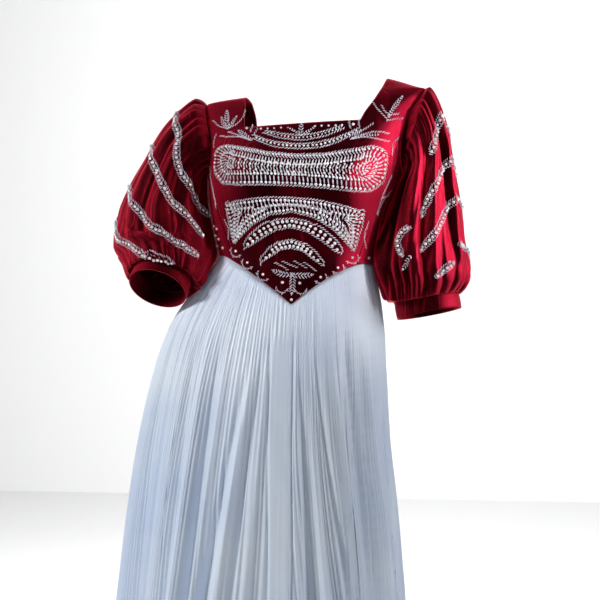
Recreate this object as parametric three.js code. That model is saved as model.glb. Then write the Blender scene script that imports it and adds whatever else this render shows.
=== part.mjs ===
// An embroidered gown: a velvet bodice with a square neck and a pointed waist, two gathered
// elbow sleeves on cuffs, raised embroidery bands, and a long skirt in fine fanned pleats.
// Millimetres, +Z up. The front faces -Y; left and right are the wearer's, so left is +X.
// The origin lies midway between the shoulder ends, where the wearer carries the gown.
import * as THREE from "three";

// ---- Driving dimensions -------------------------------------------------------------------
const SHOULDER_HALF = 181; // centre line to the top of an armhole
const NECK_HALF = 116; // centre line to the inner end of a shoulder seam
const SHOULDER_LEVEL = { armhole: -9, neck: 5 }; // the two ends of a shoulder seam
const NECKLINE = { level: -62, half: 93 }; // bottom edge of the square front neck
const BACK_NECKLINE = { level: -46, half: 100 };
const UNDERARM_LEVEL = -131;
const ARMHOLE_CUT = { front: 28, back: 26 }; // degrees that the armhole bites in from the side
// The waist seam, which dips to a point in front.
const WAIST = { level: -278, drop: 72, half: 130, span: 118, round: 1.35, square: 2.3 };
const HEM_LEVEL = -1400;
const SEAM_GAP = 0.3;
const VELVET = 2; // wall of the velvet pieces
const PLEATED = 1.5; // wall of the pleated skirt, measured square to the base form
const EMBROIDERY = { lift: 1.6, thick: 1.3 }; // raised bands: clear of the velvet, and their height
const BUST = { out: 14, apart: 74, level: -150, wide: 56, tall: 50, flat: 4 };

// Sections of the whole gown, by level. Widths are from the centre line to the wearer's right
// and left, depths from the mid plane to the front and back. Square is the superellipse
// exponent, and tilt lifts the wearer's left side, in degrees.
const FIGURE = [
  { level: 5, centre: 29, right: 116, left: 116, front: 26, back: 26, square: 2.3, tilt: 6.8 },
  { level: -9, centre: 26, right: 181, left: 181, front: 46, back: 46, square: 2.3, tilt: 3.1 },
  { level: -24, centre: 24, right: 184, left: 184, front: 62, back: 60, square: 2.3, tilt: 3.3 },
  { level: -52, centre: 16, right: 178, left: 182, front: 81, back: 78, square: 2.3, tilt: 3.4 },
  { level: -84, centre: 12, right: 167, left: 175, front: 97, back: 90, square: 2.3, tilt: 0 },
  { level: -124, centre: 9, right: 160, left: 164, front: 110, back: 96, square: 2.3, tilt: -2.9 },
  { level: -156, centre: 6, right: 156, left: 155, front: 113, back: 94, square: 2.3, tilt: -3.5 },
  { level: -191, centre: 3, right: 152, left: 143, front: 108, back: 88, square: 2.3, tilt: -3.8 },
  { level: -241, centre: 1, right: 142, left: 130, front: 99, back: 79, square: 2.3, tilt: -3.7 },
  { level: -278, centre: 0, right: 133, left: 124, front: 96, back: 75, square: 2.3, tilt: -3.4 },
  { level: -311, centre: 0, right: 158, left: 129, front: 98, back: 92, square: 2.25, tilt: -3.1 },
  { level: -350, centre: 0, right: 188, left: 135, front: 103, back: 110, square: 2.2, tilt: -2.7 },
  { level: -401, centre: 0, right: 219, left: 139, front: 116, back: 126, square: 2.1, tilt: -2.1 },
  { level: -481, centre: 1, right: 246, left: 140, front: 136, back: 144, square: 2.05, tilt: -1.3 },
  { level: -566, centre: 2, right: 266, left: 141, front: 152, back: 158, square: 2, tilt: -0.6 },
  { level: -685, centre: 5, right: 285, left: 147, front: 172, back: 174, square: 2, tilt: 0 },
  { level: -855, centre: 8, right: 304, left: 153, front: 194, back: 194, square: 2, tilt: 0 },
  { level: -1400, centre: 10, right: 356, left: 190, front: 246, back: 244, square: 2, tilt: 0 },
];

// The seam between the centre front and a side front, from the waist up to the armhole.
const PRINCESS_SEAM = [
  { level: -300, out: 95 },
  { level: -250, out: 108 },
  { level: -215, out: 123 },
  { level: -171, out: 139 },
  { level: -131, out: 149 },
  { level: -100, out: 154 },
  { level: -80, out: 159 },
];
const PRINCESS_TOP = -80;

// Sleeves, from the armhole to the cuff. Each row is a ring: its centre, its lean (0 faces
// sideways, 90 down) and forward turn in degrees, and its half sizes across and front to back.
const SLEEVE_LEFT = [
  { x: 192, y: 0, z: -66, lean: 5, forward: 0, across: 62, deep: 47 },
  { x: 192, y: 1, z: -64, lean: 18, forward: 0, across: 68, deep: 60 },
  { x: 203, y: 1, z: -88, lean: 38, forward: 0, across: 54, deep: 66 },
  { x: 207, y: 0, z: -121, lean: 62, forward: 0, across: 47, deep: 70 },
  { x: 204, y: -2, z: -155, lean: 82, forward: 0, across: 52, deep: 73 },
  { x: 201, y: -4, z: -200, lean: 90, forward: 0, across: 64, deep: 77 },
  { x: 199, y: -6, z: -245, lean: 91, forward: 0, across: 72, deep: 80 },
  { x: 201, y: -7, z: -286, lean: 88, forward: 2, across: 78, deep: 81 },
  { x: 205, y: -8, z: -320, lean: 83, forward: 3, across: 72, deep: 77 },
  { x: 203, y: -8, z: -345, lean: 77, forward: 4, across: 63, deep: 66 },
  { x: 207, y: -7, z: -333, lean: 79, forward: 4, across: 54, deep: 56 },
];
const SLEEVE_RIGHT = [
  { x: -147, y: 0, z: -74, lean: 5, forward: 0, across: 62, deep: 47 },
  { x: -154, y: 1, z: -76, lean: 17, forward: 0, across: 67, deep: 60 },
  { x: -178, y: 1, z: -92, lean: 37, forward: 0, across: 60, deep: 66 },
  { x: -198, y: 1, z: -119, lean: 62, forward: 0, across: 57, deep: 71 },
  { x: -213, y: -1, z: -158, lean: 80, forward: 0, across: 67, deep: 76 },
  { x: -224, y: -3, z: -201, lean: 88, forward: 2, across: 77, deep: 80 },
  { x: -225, y: -8, z: -240, lean: 90, forward: 9, across: 83, deep: 83 },
  { x: -225, y: -22, z: -267, lean: 86, forward: 22, across: 81, deep: 80 },
  { x: -222, y: -44, z: -290, lean: 80, forward: 33, across: 68, deep: 68 },
  { x: -217, y: -66, z: -314, lean: 77, forward: 40, across: 57, deep: 55 },
  { x: -216, y: -56, z: -300, lean: 77, forward: 40, across: 50, deep: 47 },
];
const SLEEVE_GATHERS = 12;
// How deep the gathers are on each ring of a sleeve.
const GATHER_DEPTH = [0, 2.2, 2.6, 2.4, 2.2, 2.2, 2.6, 3.6, 5, 4, 1.2];
const CUFF = { length: 33, inside: 2.6, flare: 1.5 }; // its top edge sits inside the sleeve's

// The skirt: eight gores from the centre front round the wearer's left, with the pleats of each
// gore, and their half depth down the length.
const GORES = [
  "front_left",
  "side_front_left",
  "side_back_left",
  "back_left",
  "back_right",
  "side_back_right",
  "side_front_right",
  "front_right",
];
const GORE_PLEATS = 20;
const PLEAT_INSET = 1; // the middle of the pleats lies this far inside the base form
const PLEAT_DEPTH = [
  { level: -278, half: 0.8 },
  { level: -350, half: 1.2 },
  { level: -566, half: 2.2 },
  { level: -855, half: 3.4 },
  { level: -1400, half: 4.6 },
];
// Large soft folds of the skirt: where, how wide in degrees, how far out at the hem, and the
// level where each begins. A negative depth is a trough.
const FOLD_GROWTH = 0.8; // below 1, the folds deepen early
const SKIRT_FOLDS = [
  { angle: -78, width: 13, depth: 20, from: -330 },
  { angle: -60, width: 9, depth: -17, from: -360 },
  { angle: -45, width: 10, depth: 19, from: -350 },
  { angle: -30, width: 7, depth: -15, from: -420 },
  { angle: -17, width: 8, depth: 14, from: -430 },
  { angle: 4, width: 7, depth: 11, from: -420 },
  { angle: 17, width: 7, depth: -13, from: -450 },
  { angle: 31, width: 9, depth: 17, from: -430 },
  { angle: 47, width: 8, depth: -14, from: -400 },
  { angle: 63, width: 10, depth: 16, from: -380 },
  { angle: 84, width: 9, depth: -10, from: -420 },
  { angle: 104, width: 11, depth: 18, from: -380 },
  { angle: 124, width: 9, depth: -15, from: -350 },
  { angle: 142, width: 11, depth: 20, from: -360 },
  { angle: 163, width: 9, depth: -16, from: -380 },
  { angle: 181, width: 10, depth: 19, from: -350 },
  { angle: 200, width: 10, depth: -17, from: -400 },
  { angle: 219, width: 12, depth: 21, from: -360 },
  { angle: 238, width: 9, depth: -15, from: -380 },
  { angle: 257, width: 11, depth: 18, from: -350 },
];

// Raised embroidery bands of the bodice front: half width, and the upper and lower edges at
// named distances from the centre, as levels.
const FRONT_BANDS = {
  band_bust: [
    { out: 0, top: -113, bottom: -165 },
    { out: 45, top: -111, bottom: -166 },
    { out: 90, top: -102, bottom: -168 },
    { out: 118, top: -96, bottom: -166 },
    { out: 134, top: -100, bottom: -152 },
    { out: 141, top: -114, bottom: -136 },
  ],
  band_fan: [
    { out: 0, top: -181, bottom: -206 },
    { out: 35, top: -182, bottom: -212 },
    { out: 65, top: -186, bottom: -229 },
    { out: 88, top: -190, bottom: -252 },
    { out: 97, top: -192, bottom: -262 },
    { out: 106, top: -194, bottom: -225 },
    { out: 112, top: -196, bottom: -203 },
  ],
  band_arch: [
    { out: 0, top: -213, bottom: -230 },
    { out: 25, top: -216, bottom: -235 },
    { out: 50, top: -229, bottom: -250 },
    { out: 70, top: -246, bottom: -264 },
    { out: 80, top: -260, bottom: -266 },
  ],
  band_crest: [
    { out: 0, top: -246, bottom: -262 },
    { out: 18, top: -251, bottom: -266 },
    { out: 36, top: -264, bottom: -279 },
    { out: 52, top: -283, bottom: -289 },
  ],
};

// ---- Small tools ---------------------------------------------------------------------------
const radians = THREE.MathUtils.degToRad;
const degrees = THREE.MathUtils.radToDeg;
const lerp = THREE.MathUtils.lerp;
const clamp = THREE.MathUtils.clamp;
const fullTurn = (angle) => THREE.MathUtils.euclideanModulo(angle, 360);

// A named column of a table at a place between its rows, by a smooth curve with no overshoot.
function column(table, key, name, at) {
  const rising = table[1][key] > table[0][key];
  const last = table.length - 1;
  let k = 0;
  while (k < last - 1 && (rising ? at > table[k + 1][key] : at < table[k + 1][key])) k += 1;
  const slope = (i) =>
    (table[i + 1][name] - table[i][name]) / (table[i + 1][key] - table[i][key]);
  const tangent = (i) => {
    if (i === 0) return slope(0);
    if (i === last) return slope(last - 1);
    const [before, after] = [slope(i - 1), slope(i)];
    return before * after <= 0 ? 0 : (2 * before * after) / (before + after);
  };
  const span = table[k + 1][key] - table[k][key];
  const t = clamp((at - table[k][key]) / span, 0, 1);
  const [t2, t3] = [t * t, t * t * t];
  return (
    (2 * t3 - 3 * t2 + 1) * table[k][name] +
    (t3 - 2 * t2 + t) * span * tangent(k) +
    (3 * t2 - 2 * t3) * table[k + 1][name] +
    (t3 - t2) * span * tangent(k + 1)
  );
}

const figure = (name, level) => column(FIGURE, "level", name, level);

// The centre line's distance to one side; above the armhole tops it narrows along the seam.
function halfWidth(side, level) {
  const { armhole: low, neck: high } = SHOULDER_LEVEL;
  if (level > low) return lerp(SHOULDER_HALF, NECK_HALF, (level - low) / (high - low));
  return figure(side < 0 ? "right" : "left", level);
}

function bustOut(x, level, half) {
  const across = (Math.abs(x) - BUST.apart) / BUST.wide;
  const up = (level - BUST.level) / BUST.tall;
  const edge = 1 - Math.min(1, Math.abs(x) / half) ** BUST.flat;
  return BUST.out * Math.exp(-across * across - up * up) * edge;
}

// A point of the gown's base form. Angle is in degrees, 0 in front and 90 on the wearer's left.
function basePoint(angle, level) {
  const [s, c] = [Math.sin(radians(angle)), Math.cos(radians(angle))];
  const power = 2 / figure("square", level);
  const half = halfWidth(s, level);
  const depth = figure(c > 0 ? "front" : "back", level);
  const x = Math.sign(s) * Math.abs(s) ** power * half;
  const bust = c > 0 ? bustOut(x, level, half) : 0;
  const y = -Math.sign(c) * Math.abs(c) ** power * depth - bust;
  const lift = x * Math.tan(radians(figure("tilt", level)));
  return new THREE.Vector3(figure("centre", level) + x, y, level + lift);
}

function baseNormal(angle, level) {
  const [turn, rise] = [0.6, 0.6];
  const around = basePoint(angle + turn, level).sub(basePoint(angle - turn, level));
  const low = Math.min(level, SHOULDER_LEVEL.neck - rise);
  const up = basePoint(angle, low + rise).sub(basePoint(angle, low - rise));
  return around.cross(up).normalize();
}

// The angle of the base form's point that is x from the centre line, in front or behind.
function angleAt(x, level, behind = false) {
  const share = clamp(Math.abs(x) / halfWidth(x, level), 0, 1);
  const turned = degrees(Math.asin(share ** (figure("square", level) / 2)));
  return Math.sign(x || 1) * (behind ? 180 - turned : turned);
}

// The waist seam: level at the sides and behind, and dipping to a point in front.
function waistLevel(angle) {
  if (Math.cos(radians(angle)) <= 0) return WAIST.level;
  const x = WAIST.half * Math.abs(Math.sin(radians(angle))) ** (2 / WAIST.square);
  return WAIST.level - WAIST.drop * Math.max(0, 1 - x / WAIST.span) ** WAIST.round;
}

// The armhole: round is 0 at the shoulder, 90 at the middle and 180 under the arm.
function armhole(round, behind) {
  const cut = behind ? -ARMHOLE_CUT.back : ARMHOLE_CUT.front;
  return {
    angle: 90 - cut * Math.sin(radians(round)),
    level: lerp(SHOULDER_LEVEL.armhole, UNDERARM_LEVEL, (1 - Math.cos(radians(round))) / 2),
  };
}

function armholeRound(level) {
  const share = (level - SHOULDER_LEVEL.armhole) / (UNDERARM_LEVEL - SHOULDER_LEVEL.armhole);
  return degrees(Math.acos(clamp(1 - 2 * share, -1, 1)));
}

// ---- Walls ---------------------------------------------------------------------------------
// A closed wall from a grid of outer points and normals. at(i, j) gives a place's point and
// normal, has(i, j) says which cells exist, and wrap joins the last column to the first.
function wall({ columns, rows, at, has = () => true, wrap = false, thick, gap = SEAM_GAP }) {
  const wide = wrap ? columns : columns + 1;
  const index = (i, j) => j * wide + (wrap ? (i + columns) % columns : i);
  const cell = (i, j) => {
    if (j < 0 || j >= rows) return false;
    if (wrap) return has((i + columns) % columns, j);
    return i >= 0 && i < columns && has(i, j);
  };
  const places = [];
  for (let j = 0; j <= rows; j += 1) for (let i = 0; i < wide; i += 1) places.push(at(i, j));
  // An edge is drawn in by half the seam's gap, towards the next place of the piece.
  const drawnIn = (i, j) => {
    const here = places[index(i, j)];
    const point = here.point.clone();
    const touches = [cell(i - 1, j - 1), cell(i, j - 1), cell(i - 1, j), cell(i, j)];
    const [lowLeft, lowRight, highLeft, highRight] = touches;
    const pull = (ni, nj) => {
      const way = places[index(ni, nj)].point.clone().sub(here.point);
      if (way.length() > gap) point.addScaledVector(way.normalize(), gap / 2);
    };
    if (!lowLeft && !highLeft && (lowRight || highRight)) pull(i + 1, j);
    if (!lowRight && !highRight && (lowLeft || highLeft)) pull(i - 1, j);
    if (!lowLeft && !lowRight && (highLeft || highRight)) pull(i, j + 1);
    if (!highLeft && !highRight && (lowLeft || lowRight)) pull(i, j - 1);
    return point;
  };
  const used = new Map();
  const positions = [];
  const vertex = (i, j, inner) => {
    const key = index(i, j) * 2 + (inner ? 1 : 0);
    if (!used.has(key)) {
      const point = drawnIn(i, j);
      if (inner) point.addScaledVector(places[index(i, j)].normal, -thick);
      used.set(key, positions.length / 3);
      positions.push(point.x, point.y, point.z);
    }
    return used.get(key);
  };
  const faces = [];
  const side = (a, b) => {
    const [oa, ob] = [vertex(...a, false), vertex(...b, false)];
    const [ia, ib] = [vertex(...a, true), vertex(...b, true)];
    faces.push(oa, ia, ob, ob, ia, ib);
  };
  for (let j = 0; j < rows; j += 1) {
    for (let i = 0; i < columns; i += 1) {
      if (!cell(i, j)) continue;
      const corners = [[i, j], [i + 1, j], [i + 1, j + 1], [i, j + 1]];
      const [a, b, c, d] = corners.map((p) => vertex(...p, false));
      const [e, f, g, h] = corners.map((p) => vertex(...p, true));
      faces.push(a, b, c, a, c, d, e, g, f, e, h, g);
      if (!cell(i, j - 1)) side(corners[0], corners[1]);
      if (!cell(i + 1, j)) side(corners[1], corners[2]);
      if (!cell(i, j + 1)) side(corners[2], corners[3]);
      if (!cell(i - 1, j)) side(corners[3], corners[0]);
    }
  }
  const geometry = new THREE.BufferGeometry();
  geometry.setAttribute("position", new THREE.Float32BufferAttribute(positions, 3));
  geometry.setIndex(faces);
  geometry.computeVertexNormals();
  return geometry;
}

// A wall over the base form from a grid of angles and levels.
const baseWall = (shape, place) =>
  wall({
    thick: VELVET,
    ...shape,
    at: (i, j) => {
      const { angle, level } = place(i, j);
      return { point: basePoint(angle, level), normal: baseNormal(angle, level) };
    },
  });

// ---- Bodice --------------------------------------------------------------------------------
const STRAP_ROWS = 5;
const STRAP_CELLS = 5;
// Levels of the rows below the neckline that the front and side front share on their seam.
const SEAM_SHARES = [0, 0.08, 0.17, 0.26, 0.35, 0.45, 0.55, 0.65, 0.75, 0.83, 0.91, 1];
const FRONT_UPPER = [-71, NECKLINE.level];
const FRONT_ROWS = SEAM_SHARES.length - 1 + FRONT_UPPER.length;
const NECK_CELLS = 12;

const princessOut = (level) => column(PRINCESS_SEAM, "level", "out", level);
// Where the princess seam meets the waist, found by settling between the two curves.
const SETTLING_STEPS = 20;
function princessFoot(side) {
  let level = WAIST.level;
  for (let k = 0; k < SETTLING_STEPS; k += 1)
    level = waistLevel(angleAt(side * princessOut(level), level));
  return level;
}

// How far the armhole's edge lies from the centre line.
function armholeOut(level, side, behind = false) {
  const { angle } = armhole(armholeRound(level), behind);
  const power = 2 / figure("square", level);
  return Math.sin(radians(angle)) ** power * halfWidth(side, level);
}

// The strap over a shoulder: share runs from the neck edge to the armhole, and up from the
// neckline to the shoulder seam.
function strapPlace(side, share, up, neck, behind) {
  const ease = Math.sin(radians(90 * up));
  const inner = {
    x: lerp(neck.half, NECK_HALF, ease),
    level: lerp(neck.level, SHOULDER_LEVEL.neck, ease),
  };
  const outerLevel = lerp(neck.level, SHOULDER_LEVEL.armhole, ease);
  const level = lerp(inner.level, outerLevel, share);
  const x = lerp(inner.x, armholeOut(outerLevel, side, behind), share);
  if (up === 1) return { angle: side * 90, level };
  return { angle: angleAt(side * x, level, behind), level };
}

// How fast the waist's dip fades upward through the rows of a panel.
const DIP_FADE = { front: 1.4, side: 4 };

function bodiceFront() {
  const columns = NECK_CELLS + 2 * STRAP_CELLS;
  const neckShare = NECKLINE.half / armholeOut(NECKLINE.level, 1);
  const across = (i) => {
    if (i < STRAP_CELLS) return -lerp(1, neckShare, i / STRAP_CELLS);
    const past = i - STRAP_CELLS - NECK_CELLS;
    if (past > 0) return lerp(neckShare, 1, past / STRAP_CELLS);
    return lerp(-neckShare, neckShare, (i - STRAP_CELLS) / NECK_CELLS);
  };
  const edgeOut = (level, side) =>
    level <= PRINCESS_TOP ? princessOut(level) : armholeOut(level, side);
  const lower = (i, j) => {
    const u = across(i);
    const side = u < 0 ? -1 : 1;
    const shared = j < SEAM_SHARES.length;
    const top = shared ? PRINCESS_TOP : FRONT_UPPER[j - SEAM_SHARES.length];
    const foot = princessFoot(side);
    const edgeLevel = shared ? lerp(foot, PRINCESS_TOP, SEAM_SHARES[j]) : top;
    const x = u * edgeOut(edgeLevel, side);
    const dip = waistLevel(angleAt(u * princessOut(foot), foot)) - foot;
    const fade = shared ? (1 - SEAM_SHARES[j]) ** DIP_FADE.front : 0;
    const level = edgeLevel + dip * fade;
    return { angle: angleAt(x, level), level };
  };
  const place = (i, j) => {
    if (j <= FRONT_ROWS - 1) return lower(i, j);
    const up = (j - FRONT_ROWS + 1) / STRAP_ROWS;
    const left = i >= STRAP_CELLS + NECK_CELLS;
    if (!left && i > STRAP_CELLS) return lower(i, FRONT_ROWS - 1);
    const share = left ? (i - STRAP_CELLS - NECK_CELLS) / STRAP_CELLS : 1 - i / STRAP_CELLS;
    return strapPlace(left ? 1 : -1, share, up, NECKLINE, false);
  };
  const has = (i, j) =>
    j < FRONT_ROWS - 1 || i < STRAP_CELLS || i >= STRAP_CELLS + NECK_CELLS;
  return baseWall({ columns, rows: FRONT_ROWS - 1 + STRAP_ROWS, has }, place);
}

// The side front, between the princess seam and the side seam, up to a tip on the armhole.
const SIDE_CELLS = 5;
const BLUNT = 0.955; // share of the seam's height at which the tip is cut off

function sideFront(side) {
  const foot = princessFoot(side);
  const tipRound = armholeRound(PRINCESS_TOP);
  const edgeAt = (level) => {
    if (level <= UNDERARM_LEVEL) return 90;
    return armhole(Math.max(armholeRound(level), tipRound), false).angle;
  };
  const place = (i, j) => {
    const share = Math.min(SEAM_SHARES[j], BLUNT);
    const inner = lerp(foot, PRINCESS_TOP, share);
    const innerAngle = Math.abs(angleAt(side * princessOut(inner), inner));
    const outer = lerp(WAIST.level, PRINCESS_TOP, share);
    const u = i / SIDE_CELLS;
    const angle = lerp(innerAngle, edgeAt(outer), u);
    const level = lerp(inner, outer, u);
    const footAngle = lerp(Math.abs(angleAt(side * princessOut(foot), foot)), 90, u);
    const settle = waistLevel(footAngle) - lerp(foot, WAIST.level, u);
    return { angle: side * angle, level: level + settle * (1 - share) ** DIP_FADE.side };
  };
  const mirrored = (i, j) => place(side > 0 ? i : SIDE_CELLS - i, j);
  return baseWall({ columns: SIDE_CELLS, rows: SEAM_SHARES.length - 1 }, mirrored);
}

const BACK_NECK_CELLS = 4;
const BACK_SIDE_ROWS = 5;
const BACK_ARM_ROWS = 5;

function bodiceBack(side) {
  const columns = BACK_NECK_CELLS + STRAP_CELLS;
  const topRound = armholeRound(BACK_NECKLINE.level);
  const neckAngle = Math.abs(angleAt(BACK_NECKLINE.half, BACK_NECKLINE.level, true));
  const topEdge = armhole(topRound, true).angle;
  const neckShare = (180 - neckAngle) / (180 - topEdge);
  const share = (i) => {
    if (i <= BACK_NECK_CELLS) return lerp(0, neckShare, i / BACK_NECK_CELLS);
    return lerp(neckShare, 1, (i - BACK_NECK_CELLS) / STRAP_CELLS);
  };
  const edge = (j) => {
    if (j <= BACK_SIDE_ROWS)
      return { angle: 90, level: lerp(WAIST.level, UNDERARM_LEVEL, j / BACK_SIDE_ROWS) };
    return armhole(lerp(180, topRound, (j - BACK_SIDE_ROWS) / BACK_ARM_ROWS), true);
  };
  const neckRow = BACK_SIDE_ROWS + BACK_ARM_ROWS;
  const place = (i, j) => {
    if (j > neckRow && i >= BACK_NECK_CELLS) {
      const up = (j - neckRow) / STRAP_ROWS;
      return strapPlace(side, (i - BACK_NECK_CELLS) / STRAP_CELLS, up, BACK_NECKLINE, true);
    }
    const { angle, level } = edge(Math.min(j, neckRow));
    return { angle: side * lerp(180, angle, share(i)), level };
  };
  const has = (i, j) => j < neckRow || i >= BACK_NECK_CELLS;
  const flip = (i) => (side > 0 ? columns - i : i);
  const shape = {
    columns,
    rows: neckRow + STRAP_ROWS,
    has: (i, j) => has(side > 0 ? columns - 1 - i : i, j),
  };
  return baseWall(shape, (i, j) => place(flip(i), j));
}

// ---- Skirt ---------------------------------------------------------------------------------
const SKIRT_LEVELS = [0, 0.055, 0.15, 0.33, 0.62, 1]; // shares of the way from waist to hem

function skirtOut(angle, level) {
  let out = 0;
  for (const fold of SKIRT_FOLDS) {
    const turn = fullTurn(angle - fold.angle);
    const away = Math.min(turn, 360 - turn);
    const grown = clamp((fold.from - level) / (fold.from - HEM_LEVEL), 0, 1);
    out += fold.depth * grown ** FOLD_GROWTH * Math.exp(-((away / fold.width) ** 2));
  }
  return out;
}

function skirtGore(start) {
  const columns = GORE_PLEATS * 2;
  const width = 360 / GORES.length;
  const at = (i, j) => {
    const angle = start + (width * i) / columns;
    const top = waistLevel(angle) - SEAM_GAP / 2;
    const level = lerp(top, HEM_LEVEL, SKIRT_LEVELS[SKIRT_LEVELS.length - 1 - j]);
    const normal = baseNormal(angle, level);
    const pleat = column(PLEAT_DEPTH, "level", "half", level) * (i % 2 ? 1 : -1);
    const out = skirtOut(angle, level) + pleat - PLEAT_INSET;
    return { point: basePoint(angle, level).addScaledVector(normal, out), normal };
  };
  return wall({ columns, rows: SKIRT_LEVELS.length - 1, at, thick: PLEATED });
}

// ---- Sleeves and cuffs ---------------------------------------------------------------------
const ARMHOLE_EASE = 1.5; // the sleeve's seam edge lies this far inside the armhole
const SLEEVE_CLEARANCE = { bodice: 3, skirt: 7.5, blend: 30 };

const sleeveRows = (side) => (side > 0 ? SLEEVE_LEFT : SLEEVE_RIGHT).map((row, at) => ({ ...row, at }));

// A ring's own directions: out is the outer line, fore the front, and way along the sleeve.
function ringFrame(side, rows, at) {
  const value = (name) => column(rows, "at", name, at);
  const [lean, turn] = [radians(value("lean")), radians(value("forward"))];
  const down = new THREE.Vector3(side * Math.cos(lean), 0, -Math.sin(lean));
  const front = new THREE.Vector3(0, -1, 0);
  return {
    centre: new THREE.Vector3(value("x"), value("y"), value("z")),
    out: new THREE.Vector3(side * Math.sin(lean), 0, Math.cos(lean)),
    fore: front.clone().multiplyScalar(Math.cos(turn)).addScaledVector(down, -Math.sin(turn)),
    way: down.clone().multiplyScalar(Math.cos(turn)).addScaledVector(front, Math.sin(turn)),
    across: value("across"),
    deep: value("deep"),
  };
}

const ringPoint = (ring, round, grow = 0) =>
  ring.centre
    .clone()
    .addScaledVector(ring.out, Math.cos(radians(round)) * (ring.across + grow))
    .addScaledVector(ring.fore, Math.sin(radians(round)) * (ring.deep + grow));

function armholePoint(side, round) {
  const turn = fullTurn(round);
  const behind = turn > 180;
  const { angle, level } = armhole(behind ? 360 - turn : turn, behind);
  return basePoint(side * angle, level);
}

// A sleeve is pressed flat where the body of the gown is in its way.
function clearOfBodice(side, point) {
  const off = point.x - figure("centre", point.z);
  const untilted = point.z - off * Math.tan(radians(figure("tilt", point.z)));
  const level = clamp(untilted, HEM_LEVEL, SHOULDER_LEVEL.armhole);
  const share = Math.abs(point.y) / figure(point.y < 0 ? "front" : "back", level);
  if (share >= 1) return point;
  const power = figure("square", level);
  const below = clamp((WAIST.level - level) / SLEEVE_CLEARANCE.blend, 0, 1);
  const clear = lerp(SLEEVE_CLEARANCE.bodice, SLEEVE_CLEARANCE.skirt, below);
  const edge = halfWidth(side, level) * (1 - share ** power) ** (1 / power) + clear;
  const out = side * (point.x - figure("centre", level));
  if (out < edge) point.x += side * (edge - out);
  return point;
}

const GATHERS = GATHER_DEPTH.map((depth, at) => ({ at, depth }));

// A point of a sleeve's outer face: at counts rings from the armhole, and round goes from the
// outer line over the front.
function sleevePoint(side, round, at) {
  const rows = sleeveRows(side);
  const wave = Math.cos(radians(round * SLEEVE_GATHERS)) * column(GATHERS, "at", "depth", at);
  const shaped = ringPoint(ringFrame(side, rows, at), round, wave);
  if (at >= 1) return clearOfBodice(side, shaped);
  const seam = armholePoint(side, round);
  const middle = armholePoint(side, 0).add(armholePoint(side, 180)).multiplyScalar(0.5);
  seam.addScaledVector(middle.sub(seam).setX(0).normalize(), ARMHOLE_EASE);
  seam.x += side * ARMHOLE_EASE;
  return seam.lerp(clearOfBodice(side, shaped), at);
}

function sleeveNormal(side, round, at) {
  const last = SLEEVE_LEFT.length - 1;
  const [turn, step] = [2, 0.05];
  const around = sleevePoint(side, round + turn, at).sub(sleevePoint(side, round - turn, at));
  const low = clamp(at - step, 0, last);
  const high = clamp(at + step, 0, last);
  const along = sleevePoint(side, round, high).sub(sleevePoint(side, round, low));
  return around.cross(along).multiplyScalar(side).normalize();
}

// A sleeve is in two halves, parted along its outer line and under the arm.
const SLEEVE_HALVES = [
  { half: "front", start: 0 },
  { half: "back", start: 180 },
];

function sleeveHalf(side, start) {
  const columns = SLEEVE_GATHERS * 2;
  const rows = SLEEVE_LEFT.length - 1;
  const at = (i, j) => {
    const round = start + (180 * (side > 0 ? columns - i : i)) / columns;
    const ring = rows - j;
    return { point: sleevePoint(side, round, ring), normal: sleeveNormal(side, round, ring) };
  };
  return wall({ columns, rows, at, thick: VELVET });
}

const CUFF_SIDES = 28;

function cuff(side) {
  const rows = sleeveRows(side);
  const end = ringFrame(side, rows, rows.length - 1);
  const at = (i, j) => {
    const round = (-side * 360 * i) / CUFF_SIDES;
    const along = j === 0 ? CUFF.length : SEAM_GAP;
    const point = ringPoint(end, round, (j === 0 ? CUFF.flare : 0) - CUFF.inside);
    point.addScaledVector(end.way, along);
    const normal = ringPoint(end, round).sub(end.centre).normalize();
    return { point, normal };
  };
  return wall({ columns: CUFF_SIDES, rows: 1, at, wrap: true, thick: VELVET });
}

// ---- Raised embroidery ---------------------------------------------------------------------
const raised = (place) => ({
  point: place.point.addScaledVector(place.normal, EMBROIDERY.lift + EMBROIDERY.thick),
  normal: place.normal,
});

const BAND_CELLS = 20;
const BAND_ROW_HEIGHT = 13;
const BAND_TIP = 0.999; // its end cells stay this much short of the pointed ends

function frontBand(edges) {
  const reach = edges[edges.length - 1].out;
  const tallest = Math.max(...edges.map(({ top, bottom }) => top - bottom));
  const rows = Math.ceil(tallest / BAND_ROW_HEIGHT);
  const at = (i, j) => {
    const x = reach * Math.sin(radians(lerp(-90, 90, i / BAND_CELLS)) * BAND_TIP);
    const top = column(edges, "out", "top", Math.abs(x));
    const bottom = column(edges, "out", "bottom", Math.abs(x));
    const level = lerp(bottom, top, j / rows);
    const angle = angleAt(x, level);
    return raised({ point: basePoint(angle, level), normal: baseNormal(angle, level) });
  };
  return wall({ columns: BAND_CELLS, rows, at, thick: EMBROIDERY.thick });
}

// ---- The gown ------------------------------------------------------------------------------
const COLOURS = {
  velvet: { color: 0x7a0a1c, roughness: 0.75, metalness: 0 },
  pleated: { color: 0xdfe6f2, roughness: 0.6, metalness: 0 },
  embroidery: { color: 0xb9b2b6, roughness: 0.4, metalness: 0.3 },
};

const gown = new THREE.Group();

function add(name, finish, geometry) {
  const mesh = new THREE.Mesh(geometry, new THREE.MeshStandardMaterial(COLOURS[finish]));
  mesh.name = name;
  gown.add(mesh);
}

const SIDES = [
  { word: "left", side: 1 },
  { word: "right", side: -1 },
];

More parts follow.
